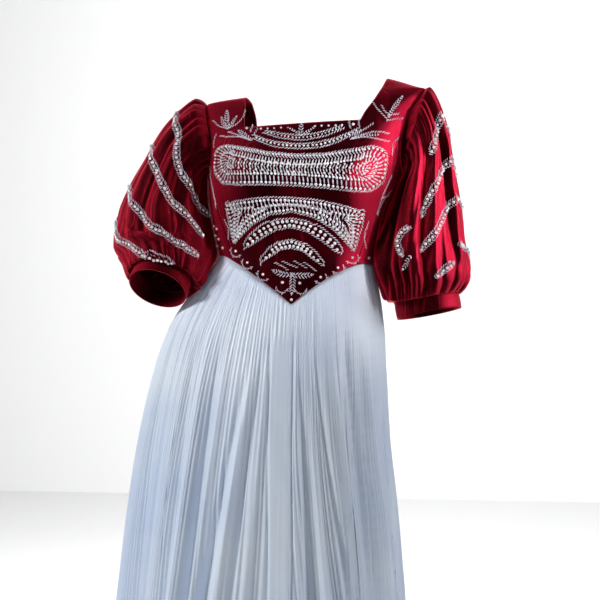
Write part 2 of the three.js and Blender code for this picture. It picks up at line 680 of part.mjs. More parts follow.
add("bodice_front", "velvet", bodiceFront());
for (const { word, side } of SIDES) {
  add(`side_front_${word}`, "velvet", sideFront(side));
  add(`bodice_back_${word}`, "velvet", bodiceBack(side));
  for (const { half, start } of SLEEVE_HALVES) {
    add(`sleeve_${word}_${half}`, "velvet", sleeveHalf(side, start));
  }
  add(`cuff_${word}`, "velvet", cuff(side));
}
GORES.forEach((word, k) => add(`skirt_${word}`, "pleated", skirtGore((360 / GORES.length) * k)));
for (const [name, edges] of Object.entries(FRONT_BANDS)) add(name, "embroidery", frontBand(edges));

export default gown;
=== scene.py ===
"""An embroidered velvet gown with a finely pleated skirt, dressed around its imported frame."""

import math

import bpy
import numpy as np
from bpy.props import FloatProperty, FloatVectorProperty, IntProperty, PointerProperty
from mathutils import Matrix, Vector


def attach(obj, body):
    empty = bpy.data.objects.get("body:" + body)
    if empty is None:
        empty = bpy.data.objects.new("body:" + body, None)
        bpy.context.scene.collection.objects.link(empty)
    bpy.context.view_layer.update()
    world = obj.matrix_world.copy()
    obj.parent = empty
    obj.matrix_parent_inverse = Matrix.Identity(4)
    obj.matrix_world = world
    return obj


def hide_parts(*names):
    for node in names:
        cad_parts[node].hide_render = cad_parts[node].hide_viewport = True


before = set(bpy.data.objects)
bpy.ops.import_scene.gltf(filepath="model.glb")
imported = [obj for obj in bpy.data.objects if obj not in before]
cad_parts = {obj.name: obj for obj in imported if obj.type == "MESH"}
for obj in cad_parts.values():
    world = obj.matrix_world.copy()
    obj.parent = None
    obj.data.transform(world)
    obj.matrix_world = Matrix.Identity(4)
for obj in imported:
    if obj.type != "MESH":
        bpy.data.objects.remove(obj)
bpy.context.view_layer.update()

bl_info = {
    "name": "Embroidered Gown",
    "version": (1, 0, 0),
    "blender": (4, 5, 0),
    "location": "View3D > Sidebar > Gown",
    "description": "Makes a velvet gown with bead embroidery and a pleated skirt",
    "category": "Add Mesh",
}

MM = 0.001  # all the sizes below are in millimetres, and meshes are in metres
SIDES = {"left": 1, "right": -1}


# ---- Tables ---------------------------------------------------------------------------------
def table(names, rows):
    """Rows of numbers as named columns."""
    return dict(zip(names.split(), np.array(rows, dtype=float).T))


# Sections of the gown: widths from the centre line, depths from the mid plane, and the
# superellipse exponent. Tilt lifts the wearer's left side, in degrees.
FIGURE = table(
    "level centre right left front back square tilt",
    [
        (5, 29, 116, 116, 26, 26, 2.3, 6.8),
        (-9, 26, 181, 181, 46, 46, 2.3, 3.1),
        (-24, 24, 184, 184, 62, 60, 2.3, 3.3),
        (-52, 16, 178, 182, 81, 78, 2.3, 3.4),
        (-84, 12, 167, 175, 97, 90, 2.3, 0),
        (-124, 9, 160, 164, 110, 96, 2.3, -2.9),
        (-156, 6, 156, 155, 113, 94, 2.3, -3.5),
        (-191, 3, 152, 143, 108, 88, 2.3, -3.8),
        (-241, 1, 142, 130, 99, 79, 2.3, -3.7),
        (-278, 0, 133, 124, 96, 75, 2.3, -3.4),
        (-311, 0, 158, 129, 98, 92, 2.25, -3.1),
        (-350, 0, 188, 135, 103, 110, 2.2, -2.7),
        (-401, 0, 219, 139, 116, 126, 2.1, -2.1),
        (-481, 1, 246, 140, 136, 144, 2.05, -1.3),
        (-566, 2, 266, 141, 152, 158, 2, -0.6),
        (-685, 5, 285, 147, 172, 174, 2, 0),
        (-855, 8, 304, 153, 194, 194, 2, 0),
        (-1400, 10, 356, 190, 246, 244, 2, 0),
    ],
)
SHOULDER_HALF = 181
NECK_HALF = 116
SHOULDER_LEVEL = {"armhole": -9, "neck": 5}
NECKLINE = {"level": -62, "half": 93}
BACK_NECKLINE = {"level": -46, "half": 100}
UNDERARM_LEVEL = -131
ARMHOLE_CUT = {"front": 28, "back": 26}
WAIST = {"level": -278, "drop": 72, "half": 130, "span": 118, "round": 1.35, "square": 2.3}
HEM_LEVEL = -1400
BUST = {"out": 14, "apart": 74, "level": -150, "wide": 56, "tall": 50}
PRINCESS_TOP = -80
PRINCESS_SEAM = table(
    "level out",
    [(-300, 95), (-250, 108), (-215, 123), (-171, 139), (-131, 149), (-100, 154), (-80, 159)],
)

# Sleeve rings from the armhole to the cuff: centre, lean and forward turn in degrees, the half
# sizes across and front to back, and the depth of the gathers.
RING_NAMES = "x y z lean forward across deep gather"
SLEEVES = {
    1: table(
        RING_NAMES,
        [
            (192, 0, -66, 5, 0, 62, 47, 0),
            (192, 1, -64, 18, 0, 68, 60, 2.4),
            (203, 1, -88, 38, 0, 54, 66, 2),
            (207, 0, -121, 62, 0, 47, 70, 0.8),
            (204, -2, -155, 82, 0, 52, 73, 0.3),
            (201, -4, -200, 90, 0, 64, 77, 0.2),
            (199, -6, -245, 91, 0, 72, 80, 0.3),
            (201, -7, -286, 88, 2, 78, 81, 1.2),
            (205, -8, -320, 83, 3, 72, 77, 3),
            (203, -8, -345, 77, 4, 63, 66, 3.4),
            (207, -7, -333, 79, 4, 54, 56, 0.9),
        ],
    ),
    -1: table(
        RING_NAMES,
        [
            (-147, 0, -74, 5, 0, 62, 47, 0),
            (-154, 1, -76, 17, 0, 67, 60, 2.4),
            (-178, 1, -92, 37, 0, 60, 66, 1.6),
            (-198, 1, -119, 62, 0, 57, 71, 0.5),
            (-213, -1, -158, 80, 0, 67, 76, 0.1),
            (-224, -3, -201, 88, 2, 77, 80, 0),
            (-225, -8, -240, 90, 9, 83, 83, 0.1),
            (-225, -22, -267, 86, 22, 81, 80, 0.5),
            (-222, -44, -290, 80, 33, 68, 68, 1.4),
            (-217, -66, -314, 77, 40, 57, 55, 2),
            (-216, -56, -300, 77, 40, 50, 47, 0.9),
        ],
    ),
}
LAST_RING = 10
SLEEVE_GATHERS = 24
GATHER_UNEVEN = 0.9
# The lower bulge on its inner side, by side of the gown: how far its hem lifts and how far it
# swells toward the body, the widths of both in degrees, and the rings where each comes and goes.
HEM_LIFT = {1: 17, -1: 4, "width": 48, "comes": (7.6, 9), "goes": (9, LAST_RING)}
INNER_SWELL = {1: 0, -1: 12, "width": 55, "comes": (4.5, 7), "goes": (8.2, 9.6)}
SLEEVE_CLEARANCE = {"bodice": 3, "skirt": 7.5, "blend": 30}
ARMHOLE_EASE = 1.5
SLEEVE_FINISH = {1: "red velvet", -1: "velvet with weak painted highlight"}  # the right sleeve gets only a weak painted highlight, in its bright pile colour
CUFF = {"length": 33, "inside": 2.6, "flare": 1.5, "puff": 1.2, "columns": 96, "rows": 10}

# Large soft folds of the skirt; a negative depth is a trough.
SKIRT_FOLDS = table(
    "angle width depth start",
    [
        (-78, 13, 20, -330),
        (-60, 9, -17, -360),
        (-45, 10, 19, -350),
        (-30, 7, -15, -420),
        (-17, 8, 14, -430),
        (4, 7, 11, -420),
        (17, 7, -13, -450),
        (31, 9, 17, -430),
        (47, 8, -14, -400),
        (63, 10, 16, -380),
        (84, 9, -10, -420),
        (104, 11, 18, -380),
        (124, 9, -15, -350),
        (142, 11, 20, -360),
        (163, 9, -16, -380),
        (181, 10, 19, -350),
        (200, 10, -17, -400),
        (219, 12, 21, -360),
        (238, 9, -15, -380),
        (257, 11, 18, -350),
    ],
)
PLEAT_DEPTH = table(
    "level half", [(-278, 0.6), (-350, 0.8), (-566, 1.2), (-855, 1.7), (-1400, 2.4)]
)


def column(rows, key, name, at):
    """A named column at a place between its rows, by a smooth curve with no overshoot."""
    x, y = rows[key], rows[name]
    if x[0] > x[-1]:
        x, y = x[::-1], y[::-1]
    at = np.clip(at, x[0], x[-1])
    k = np.clip(np.searchsorted(x, at, side="right") - 1, 0, len(x) - 2)
    slope = np.diff(y) / np.diff(x)
    before, after = slope[:-1], slope[1:]
    alike = before * after > 0
    total = np.where(alike, before + after, 1.0)
    middle = np.where(alike, 2 * before * after / total, 0.0)
    tangent = np.concatenate([slope[:1], middle, slope[-1:]])
    span = (x[1:] - x[:-1])[k]
    t = (at - x[k]) / span
    return (
        (2 * t**3 - 3 * t**2 + 1) * y[k]
        + (t**3 - 2 * t**2 + t) * span * tangent[k]
        + (3 * t**2 - 2 * t**3) * y[k + 1]
        + (t**3 - t**2) * span * tangent[k + 1]
    )


def lerp(a, b, t):
    return a + (b - a) * t


def smooth(low, high, value):
    """0 below low, 1 above high, and a soft step between."""
    t = np.clip((value - low) / (high - low), 0, 1)
    return t * t * (3 - 2 * t)


def unit(vectors):
    return vectors / np.maximum(np.linalg.norm(vectors, axis=-1, keepdims=True), 1e-9)


# ---- The gown's base form -------------------------------------------------------------------
def figure(name, level):
    return column(FIGURE, "level", name, level)


def half_width(side, level):
    low, high = SHOULDER_LEVEL["armhole"], SHOULDER_LEVEL["neck"]
    worn = np.where(np.asarray(side) < 0, figure("right", level), figure("left", level))
    seam = lerp(SHOULDER_HALF, NECK_HALF, (level - low) / (high - low))
    return np.where(np.asarray(level) > low, seam, worn)


def bust_out(x, level, half):
    across = (np.abs(x) - BUST["apart"]) / BUST["wide"]
    up = (level - BUST["level"]) / BUST["tall"]
    edge = 1 - np.minimum(1, np.abs(x) / half) ** 4
    return BUST["out"] * np.exp(-across * across - up * up) * edge


def base_point(angle, level):
    """Points of the base form. Angle is in degrees, 0 in front and 90 on the wearer's left."""
    angle, level = np.broadcast_arrays(np.asarray(angle, float), np.asarray(level, float))
    s, c = np.sin(np.radians(angle)), np.cos(np.radians(angle))
    power = 2 / figure("square", level)
    half = half_width(s, level)
    depth = np.where(c > 0, figure("front", level), figure("back", level))
    x = np.sign(s) * np.abs(s) ** power * half
    bust = np.where(c > 0, bust_out(x, level, half), 0)
    y = -np.sign(c) * np.abs(c) ** power * depth - bust
    lift = x * np.tan(np.radians(figure("tilt", level)))
    return np.stack([figure("centre", level) + x, y, level + lift], axis=-1)


def base_normal(angle, level):
    angle, level = np.broadcast_arrays(np.asarray(angle, float), np.asarray(level, float))
    turn = rise = 0.6
    around = base_point(angle + turn, level) - base_point(angle - turn, level)
    low = np.minimum(level, SHOULDER_LEVEL["neck"] - rise)
    up = base_point(angle, low + rise) - base_point(angle, low - rise)
    return unit(np.cross(around, up))


def angle_at(x, level, behind=False):
    """The angle of the base form's point that is x from the centre line."""
    share = np.clip(np.abs(x) / half_width(x, level), 0, 1)
    turned = np.degrees(np.arcsin(share ** (figure("square", level) / 2)))
    sign = np.where(np.asarray(x) < 0, -1, 1)
    return sign * (180 - turned if behind else turned)


def waist_level(angle):
    c = np.cos(np.radians(angle))
    x = WAIST["half"] * np.abs(np.sin(np.radians(angle))) ** (2 / WAIST["square"])
    dip = WAIST["drop"] * np.maximum(0, 1 - x / WAIST["span"]) ** WAIST["round"]
    return WAIST["level"] - np.where(c > 0, dip, 0)


def armhole(turn, behind):
    """The armhole's angle and level: turn is 0 at the shoulder and 180 under the arm."""
    cut = -ARMHOLE_CUT["back"] if behind else ARMHOLE_CUT["front"]
    share = (1 - np.cos(np.radians(turn))) / 2
    level = lerp(SHOULDER_LEVEL["armhole"], UNDERARM_LEVEL, share)
    return 90 - cut * np.sin(np.radians(turn)), level


def armhole_turn(level):
    top = SHOULDER_LEVEL["armhole"]
    share = (level - top) / (UNDERARM_LEVEL - top)
    return np.degrees(np.arccos(np.clip(1 - 2 * share, -1, 1)))


def armhole_out(level, side, behind=False):
    angle = armhole(armhole_turn(level), behind)[0]
    power = 2 / figure("square", level)
    return np.abs(np.sin(np.radians(angle))) ** power * half_width(side, level)


# ---- Meshes ---------------------------------------------------------------------------------
def grid_faces(rows, columns, wrap=False, has=None):
    """Quads of a grid of rows + 1 by columns + 1 places, or by columns where it wraps."""
    wide = columns if wrap else columns + 1
    j, i = np.mgrid[0:rows, 0:columns]
    if has is not None:
        kept = has(i, j)
        i, j = i[kept], j[kept]
    i, j = i.ravel(), j.ravel()
    right = (i + 1) % wide if wrap else i + 1
    low, high = j * wide, (j + 1) * wide
    return np.stack([low + i, low + right, high + right, high + i], 1)


def grid(rows, columns):
    """The row and the column number of each place of a grid."""
    return np.mgrid[0:rows, 0:columns].astype(float)


def weld(points, faces, near=0.02):
    """Joins points that are closer than near, and drops those that no face uses."""
    keys = np.round(points / near).astype(np.int64)
    _, first, same = np.unique(keys, axis=0, return_index=True, return_inverse=True)
    faces = same.reshape(-1)[faces]
    used, faces = np.unique(faces, return_inverse=True)
    return points[first[used]], faces.reshape(-1, 4)


def make_mesh(name, points, faces, material):
    """A mesh object from points in millimetres, riding on the gown's one body."""
    mesh = bpy.data.meshes.new(name)
    corners = faces.shape[1]
    mesh.vertices.add(len(points))
    mesh.vertices.foreach_set("co", (np.asarray(points) * MM).ravel())
    mesh.loops.add(faces.size)
    mesh.loops.foreach_set("vertex_index", faces.ravel().astype(np.int32))
    mesh.polygons.add(len(faces))
    mesh.polygons.foreach_set("loop_start", np.arange(0, faces.size, corners, dtype=np.int32))
    mesh.update(calc_edges=True)
    mesh.validate()
    mesh.shade_smooth()
    mesh.materials.append(material)
    piece = bpy.data.objects.new(name, mesh)
    bpy.context.scene.collection.objects.link(piece)
    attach(piece, "root")
    return piece


def cloth_mesh(name, points, faces, material, thickness):
    """A cloth surface with its thickness inwards, in metres."""
    piece = make_mesh(name, points, faces, material)
    solid = piece.modifiers.new("thickness", "SOLIDIFY")
    solid.thickness = thickness
    solid.offset = -1
    return piece


# ---- Materials ------------------------------------------------------------------------------
def new_group(name, inputs, outputs):
    """An empty shader node group with named sockets."""
    group = bpy.data.node_groups.new(name, "ShaderNodeTree")
    for label, kind, default in inputs:
        socket = group.interface.new_socket(label, in_out="INPUT", socket_type=kind)
        socket.default_value = default
    for label, kind in outputs:
        group.interface.new_socket(label, in_out="OUTPUT", socket_type=kind)
    group.nodes.new("NodeGroupInput")
    group.nodes.new("NodeGroupOutput")
    return group


def node(tree, kind, **values):
    """A new node with its settings and input values."""
    made = tree.nodes.new("ShaderNode" + kind)
    for key, value in values.items():
        if key in made.inputs:
            made.inputs[key].default_value = value
        else:
            setattr(made, key, value)
    return made


def join(tree, source, target):
    tree.links.new(source, target)


def scaled_range(tree, source, low, high, start=0.0, end=1.0):
    """A value moved from one range to another, and held inside it."""
    made = node(tree, "MapRange")
    for label, value in zip(("From Min", "From Max", "To Min", "To Max"), (low, high, start, end)):
        made.inputs[label].default_value = value
    join(tree, source, made.inputs["Value"])
    return made.outputs["Result"]


def combined(tree, operation, first, second):
    """Two values worked into one; the second may be a number."""
    made = node(tree, "Math", operation=operation)
    join(tree, first, made.inputs[0])
    if isinstance(second, float):
        made.inputs[1].default_value = second
    else:
        join(tree, second, made.inputs[1])
    return made.outputs[0]


def cloud(tree, place, size, stretch=(1.0, 1.0, 1.0), **values):
    """A noise over the cloth, drawn out along the axes."""
    stretched = node(tree, "Mapping", Scale=stretch)
    join(tree, place, stretched.inputs["Vector"])
    made = node(tree, "TexNoise", **values)
    join(tree, stretched.outputs["Vector"], made.inputs["Vector"])
    join(tree, size, made.inputs["Scale"])
    return made.outputs["Fac"]


def mixed(tree, share, first, second):
    """A colour between two, which are sockets or plain colours."""
    made = node(tree, "Mix", data_type="RGBA")
    join(tree, share, made.inputs[0])
    for end, colour in ((6, first), (7, second)):
        if isinstance(colour, bpy.types.NodeSocket):
            join(tree, colour, made.inputs[end])
        else:
            made.inputs[end].default_value = (*colour, 1)
    return made.outputs[2]


# What the pile makes of its noises: the lowest and highest noise, and the values they become.
PILE_RANGES = {
    "brushed": (0.38, 0.7),
    "crease line": (0.0, 0.022, 1.0, 0.0),
    "broken": (0.47, 0.6),
    "grain": (0.3, 0.7, -0.14, 0.14),
    # toward makes the painted highlight's mask from how far the cloth faces one fixed direction
    "toward": (0.78, 0.98, 0.0, 0.85),
    "roughness": (0.0, 1.0, 0.42, 0.3),
}
# The crease lines' colour share paints highlights into the colour; their height share is a real
# bump.
PILE_SHARES = {"brushed": 0.55, "crease_bump_and_highlight": 0.75, "pressed height": 2.2, "crease height": 3.0}


def pile_group():
    """Brushed pile: soft strokes, a fine nap, and bumped creases with painted highlight lines.

    A painted highlight also brightens the colour where the cloth faces one fixed direction,
    standing in for light from that side.
    """
    inputs = [
        ("Deep", "NodeSocketColor", (0.05, 0.002, 0.006, 1)),
        ("Bright", "NodeSocketColor", (0.4, 0.01, 0.03, 1)),
        ("Painted Highlight", "NodeSocketColor", (0.75, 0.03, 0.09, 1)),
        ("Painted Highlight Way", "NodeSocketVector", (0.88, -0.48, 0.0)),
        ("Stroke Size", "NodeSocketFloat", 13.0),
        ("Crease Size", "NodeSocketFloat", 14.0),
        ("Nap Size", "NodeSocketFloat", 900.0),
    ]
    outputs = [
        ("Colour", "NodeSocketColor"),
        ("Roughness", "NodeSocketFloat"),
        ("Height", "NodeSocketFloat"),
    ]
    tree = new_group("Brushed Pile", inputs, outputs)
    start, end = tree.nodes["Group Input"], tree.nodes["Group Output"]
    place = node(tree, "TexCoord").outputs["Object"]

    def worked(name, source):
        return scaled_range(tree, source, *PILE_RANGES[name])

    def share(name, source):
        return combined(tree, "MULTIPLY", source, PILE_SHARES[name])

    size = start.outputs["Stroke Size"]
    drawn_out = (1.0, 1.0, 0.45)
    strokes = cloud(tree, place, size, drawn_out, Detail=4.0, Roughness=0.62, Distortion=0.6)
    size = start.outputs["Crease Size"]
    drawn_out = (1.0, 1.0, 0.2)
    creases = cloud(tree, place, size, drawn_out, Detail=2.5, Roughness=0.5, Distortion=0.9)
    nap = cloud(tree, place, start.outputs["Nap Size"], Detail=2.0, Roughness=0.7)
    off_line = combined(tree, "ABSOLUTE", combined(tree, "SUBTRACT", creases, 0.5), 0.0)
    line = worked("crease line", off_line)
    # Painted highlight: thin broken lines along the creases push the colour toward the bright
    # colour; the same lines also raise the bump.
    crease_bump_and_highlight = combined(tree, "MULTIPLY", line, worked("broken", strokes))
    brushed = share("brushed", worked("brushed", strokes))
    shade = combined(tree, "ADD", brushed, worked("grain", nap))
    blend = combined(tree, "ADD", shade, share("crease_bump_and_highlight", crease_bump_and_highlight))
    pile_tone = mixed(tree, blend, start.outputs["Deep"], start.outputs["Bright"])
    # Painted highlight: where the cloth faces one fixed direction its colour turns to the
    # highlight colour, standing in for light from that side.
    facing = node(tree, "VectorMath", operation="DOT_PRODUCT")
    join(tree, node(tree, "NewGeometry").outputs["Normal"], facing.inputs[0])
    join(tree, start.outputs["Painted Highlight Way"], facing.inputs[1])
    toward = worked("toward", facing.outputs["Value"])
    painted_highlight = mixed(tree, toward, pile_tone, start.outputs["Painted Highlight"])
    join(tree, painted_highlight, end.inputs["Colour"])
    join(tree, worked("roughness", blend), end.inputs["Roughness"])
    raised = combined(tree, "ADD", share("pressed height", crease_bump_and_highlight), nap)
    height = combined(tree, "ADD", raised, share("crease height", creases))
    join(tree, height, end.inputs["Height"])
    return tree


def weave_group():
    """Thin plain weave with slightly uneven threads."""
    inputs = [
        ("Thread", "NodeSocketColor", (0.86, 0.88, 0.9, 1)),
        ("Shade", "NodeSocketColor", (0.7, 0.73, 0.8, 1)),
        ("Thread Count", "NodeSocketFloat", 1400.0),
        ("Cloud Size", "NodeSocketFloat", 5.0),
    ]
    outputs = [("Colour", "NodeSocketColor"), ("Height", "NodeSocketFloat")]
    tree = new_group("Thin Weave", inputs, outputs)
    start, end = tree.nodes["Group Input"], tree.nodes["Group Output"]
    place = node(tree, "TexCoord").outputs["Object"]
    patches = cloud(tree, place, start.outputs["Cloud Size"], Detail=3.0, Roughness=0.55)
    count = start.outputs["Thread Count"]
    threads = cloud(tree, place, count, (1.0, 1.0, 0.12), Detail=1.0, Roughness=0.5)
    even = scaled_range(tree, patches, 0.35, 0.7)
    colour = mixed(tree, even, start.outputs["Thread"], start.outputs["Shade"])
    join(tree, colour, end.inputs["Colour"])
    join(tree, threads, end.inputs["Height"])
    return tree


def new_material(name):
    material = bpy.data.materials.new(name)
    material.use_nodes = True
    return material, material.node_tree, material.node_tree.nodes["Principled BSDF"]


def bump(tree, height, shader, strength, distance):
    raised = node(tree, "Bump", Strength=strength, Distance=distance * MM)
    join(tree, height, raised.inputs["Height"])
    join(tree, raised.outputs["Normal"], shader.inputs["Normal"])
    return raised.outputs["Normal"]


def placed_group(tree, name, make, colours):
    """A node group with its own colours, built when it is first asked for."""
    made = tree.nodes.new("ShaderNodeGroup")
    made.node_tree = bpy.data.node_groups.get(name) or make()
    for label, colour in colours.items():
        made.inputs[label].default_value = (*colour, 1)
    return made


def flecked(tree, shader, scale, detail, first, second):
    """Colours a shader with flecks between two colours, and gives their pattern."""
    flecks = node(tree, "TexNoise", Scale=scale, Detail=detail)
    join(tree, node(tree, "TexCoord").outputs["Object"], flecks.inputs["Vector"])
    join(tree, mixed(tree, flecks.outputs["Fac"], first, second), shader.inputs["Base Color"])
    return flecks.outputs["Fac"]


def set_shader(shader, values):
    for label, value in values.items():
        shader.inputs[label].default_value = value


VELVET = {
    "Metallic": 0.5,
    "Specular IOR Level": 0.1,
    "Specular Tint": (1.0, 0.08, 0.16, 1),
    "Sheen Weight": 0.12,
    "Sheen Roughness": 0.3,
    "Sheen Tint": (1.0, 0.1, 0.2, 1),
}
VELVET_PAINTED_SHEEN = (0.22, 0.8)  # how far the cloth turns away from the view before the painted sheen starts, and where it is full
PLEATED = {"Roughness": 0.34, "Sheen Weight": 0.15, "Sheen Roughness": 0.4}
PEARL_GLASS = {"Metallic": 0.12, "Roughness": 0.16, "Coat Weight": 0.6}
METAL_THREAD = {"Metallic": 0.25, "Roughness": 0.34}


def velvet_material(name, look, painted_highlight):
    """Dark red silk velvet with a painted sheen: its colour brightens where it turns away from the
    view.
    """
    material, tree, shader = new_material(name)
    colours = {"Deep": look.velvet_deep, "Bright": look.velvet_bright, "Painted Highlight": painted_highlight}
    pile = placed_group(tree, "Brushed Pile", pile_group, colours)
    normal = bump(tree, pile.outputs["Height"], shader, 0.45, 1.2)
    # Painted sheen: the colour brightens where the bumped surface turns away from the view, so the
    # bump's creases show as painted bright lines.
    graze = node(tree, "LayerWeight", Blend=0.5)
    join(tree, normal, graze.inputs["Normal"])
    painted_sheen_mask = scaled_range(tree, graze.outputs["Facing"], *VELVET_PAINTED_SHEEN)
    colour = mixed(tree, painted_sheen_mask, pile.outputs["Colour"], look.velvet_painted_sheen)
    join(tree, colour, shader.inputs["Base Color"])
    join(tree, pile.outputs["Roughness"], shader.inputs["Roughness"])
    set_shader(shader, VELVET)
    return material


def pleated_material(look):
    """Thin white satin-faced cloth, coloured with a painted cool blue cast that stands in for blue
    light.
    """
    material, tree, shader = new_material("white pleated cloth")
    colours = {"Thread": look.skirt_light, "Shade": look.skirt_shade}
    weave = placed_group(tree, "Thin Weave", weave_group, colours)
    join(tree, weave.outputs["Colour"], shader.inputs["Base Color"])
    bump(tree, weave.outputs["Height"], shader, 0.15, 0.15)
    set_shader(shader, PLEATED)
    return material


def bead_material():
    """Silver-white glass pearls."""
    material, tree, shader = new_material("silver pearl")
    flecked(tree, shader, 160.0, 1.0, (0.82, 0.8, 0.83), (1.0, 0.99, 1.0))
    set_shader(shader, PEARL_GLASS)
    return material


def thread_material():
    """Silver metal thread in short twisted stitches."""
    material, tree, shader = new_material("silver thread")
    flecks = flecked(tree, shader, 700.0, 2.0, (0.5, 0.47, 0.57), (0.9, 0.89, 0.99))
    bump(tree, flecks, shader, 0.3, 0.3)
    set_shader(shader, METAL_THREAD)
    return material


def plain_material(name, colour, roughness):
    material, _, shader = new_material(name)
    set_shader(shader, {"Base Color": (*colour, 1), "Roughness": roughness})
    return material


def finish_of(name, look):
    """The material of a name, made when it is first asked for."""
    makers = {
        "red velvet": lambda: velvet_material("red velvet", look, look.velvet_painted_highlight),
        "velvet with weak painted highlight": lambda: velvet_material("velvet with weak painted highlight", look, look.velvet_bright),
        "white pleated cloth": lambda: pleated_material(look),
        "silver pearl": bead_material,
        "silver thread": thread_material,
    }
    return bpy.data.materials.get(name) or makers[name]()


# ---- Bodice panels --------------------------------------------------------------------------
FINE = 4  # fine cells for each cell of the plain panels
STRAP_ROWS = 5
STRAP_CELLS = 5
SEAM_SHARES = [0, 0.08, 0.17, 0.26, 0.35, 0.45, 0.55, 0.65, 0.75, 0.83, 0.91, 1]
FRONT_UPPER = [-71, NECKLINE["level"]]
NECK_CELLS = 12
SIDE_CELLS = 5
BLUNT = 0.955
BACK_NECK_CELLS = 4
BACK_SIDE_ROWS = 5
BACK_ARM_ROWS = 5
SEAM_GAP = 0.3
DIP_POWER = 1.4  # how fast the waist's point fades up the front panel
SETTLE_POWER = 4  # and the waist's slope up the side panels
SEAM_ROUNDS = 20


def princess_out(level):
    return column(PRINCESS_SEAM, "level", "out", level)


def princess_foot(side):
    """Where the princess seam meets the waist."""
    level = WAIST["level"]
    for _ in range(SEAM_ROUNDS):
        level = float(waist_level(angle_at(side * princess_out(level), level)))
    return level


def strap_place(side, share, up, neck, behind):
    """The strap over a shoulder: share from the neck to the armhole, up to the seam."""
    ease = np.sin(np.radians(90 * up))
    inner_x = lerp(neck["half"], NECK_HALF, ease)
    inner_level = lerp(neck["level"], SHOULDER_LEVEL["neck"], ease)
    outer_level = lerp(neck["level"], SHOULDER_LEVEL["armhole"], ease)
    outer_x = armhole_out(outer_level, side, behind)
    level = lerp(inner_level, outer_level, share)
    x = lerp(inner_x, outer_x, share)
    angle = angle_at(side * x, level, behind)
    return np.where(up >= 1, side * 90, angle), level


def bodice_front_places():
    columns = (NECK_CELLS + 2 * STRAP_CELLS) * FINE
    base = (len(SEAM_SHARES) - 1 + len(FRONT_UPPER)) * FINE
    rows = base + STRAP_ROWS * FINE
    j, i = grid(rows + 1, columns + 1) / FINE
    edge = len(SEAM_SHARES) - 1
    left = i >= STRAP_CELLS + NECK_CELLS
    right = i <= STRAP_CELLS
    side = np.where(i < STRAP_CELLS + NECK_CELLS / 2, -1, 1)
    neck_out = armhole_out(NECKLINE["level"], side)
    neck_share = NECKLINE["half"] / neck_out
    toward = (i - STRAP_CELLS) / NECK_CELLS * 2 - 1
    past = np.where(left, (i - STRAP_CELLS - NECK_CELLS) / STRAP_CELLS, 1 - i / STRAP_CELLS)
    across = np.where(left | right, side * lerp(neck_share, 1, past), toward * neck_share)
    share = np.interp(j, np.arange(len(SEAM_SHARES)), SEAM_SHARES)
    upper = np.interp(j, edge + np.arange(len(FRONT_UPPER) + 1), [PRINCESS_TOP, *FRONT_UPPER])
    foot = np.where(side < 0, princess_foot(-1), princess_foot(1))
    edge_level = np.where(j <= edge, lerp(foot, PRINCESS_TOP, share), upper)
    out = np.where(j <= edge, princess_out(edge_level), armhole_out(edge_level, side))
    dip = waist_level(angle_at(across * princess_out(foot), foot)) - foot
    fade = np.where(j <= edge, (1 - share) ** DIP_POWER, 0)
    level = edge_level + dip * fade
    angle = angle_at(across * out, level)
    up = np.clip((j - base / FINE) / STRAP_ROWS, 0, 1)
    strap_angle, strap_level = strap_place(side, np.clip(past, 0, 1), up, NECKLINE, False)
    strap = (j > base / FINE) & (left | right)
    angle, level = np.where(strap, strap_angle, angle), np.where(strap, strap_level, level)

    def has(i, j):
        return (j < base) | (i < STRAP_CELLS * FINE) | (i >= (STRAP_CELLS + NECK_CELLS) * FINE)

    return angle, level, grid_faces(rows, columns, has=has)


def side_front_places(side):
    columns, rows = SIDE_CELLS * FINE, (len(SEAM_SHARES) - 1) * FINE
    j, i = grid(rows + 1, columns + 1) / FINE
    foot = princess_foot(side)
    share = np.minimum(np.interp(j, np.arange(len(SEAM_SHARES)), SEAM_SHARES), BLUNT)
    inner = lerp(foot, PRINCESS_TOP, share)
    inner_angle = np.abs(angle_at(side * princess_out(inner), inner))
    outer = lerp(WAIST["level"], PRINCESS_TOP, share)
    turn = np.maximum(armhole_turn(outer), armhole_turn(PRINCESS_TOP))
    outer_angle = np.where(outer <= UNDERARM_LEVEL, 90, armhole(turn, False)[0])
    u = i / SIDE_CELLS
    u = u if side > 0 else 1 - u
    angle, level = lerp(inner_angle, outer_angle, u), lerp(inner, outer, u)
    foot_angle = lerp(np.abs(angle_at(side * princess_out(foot), foot)), 90, u)
    settle = waist_level(foot_angle) - lerp(foot, WAIST["level"], u)
    return side * angle, level + settle * (1 - share) ** SETTLE_POWER, grid_faces(rows, columns)


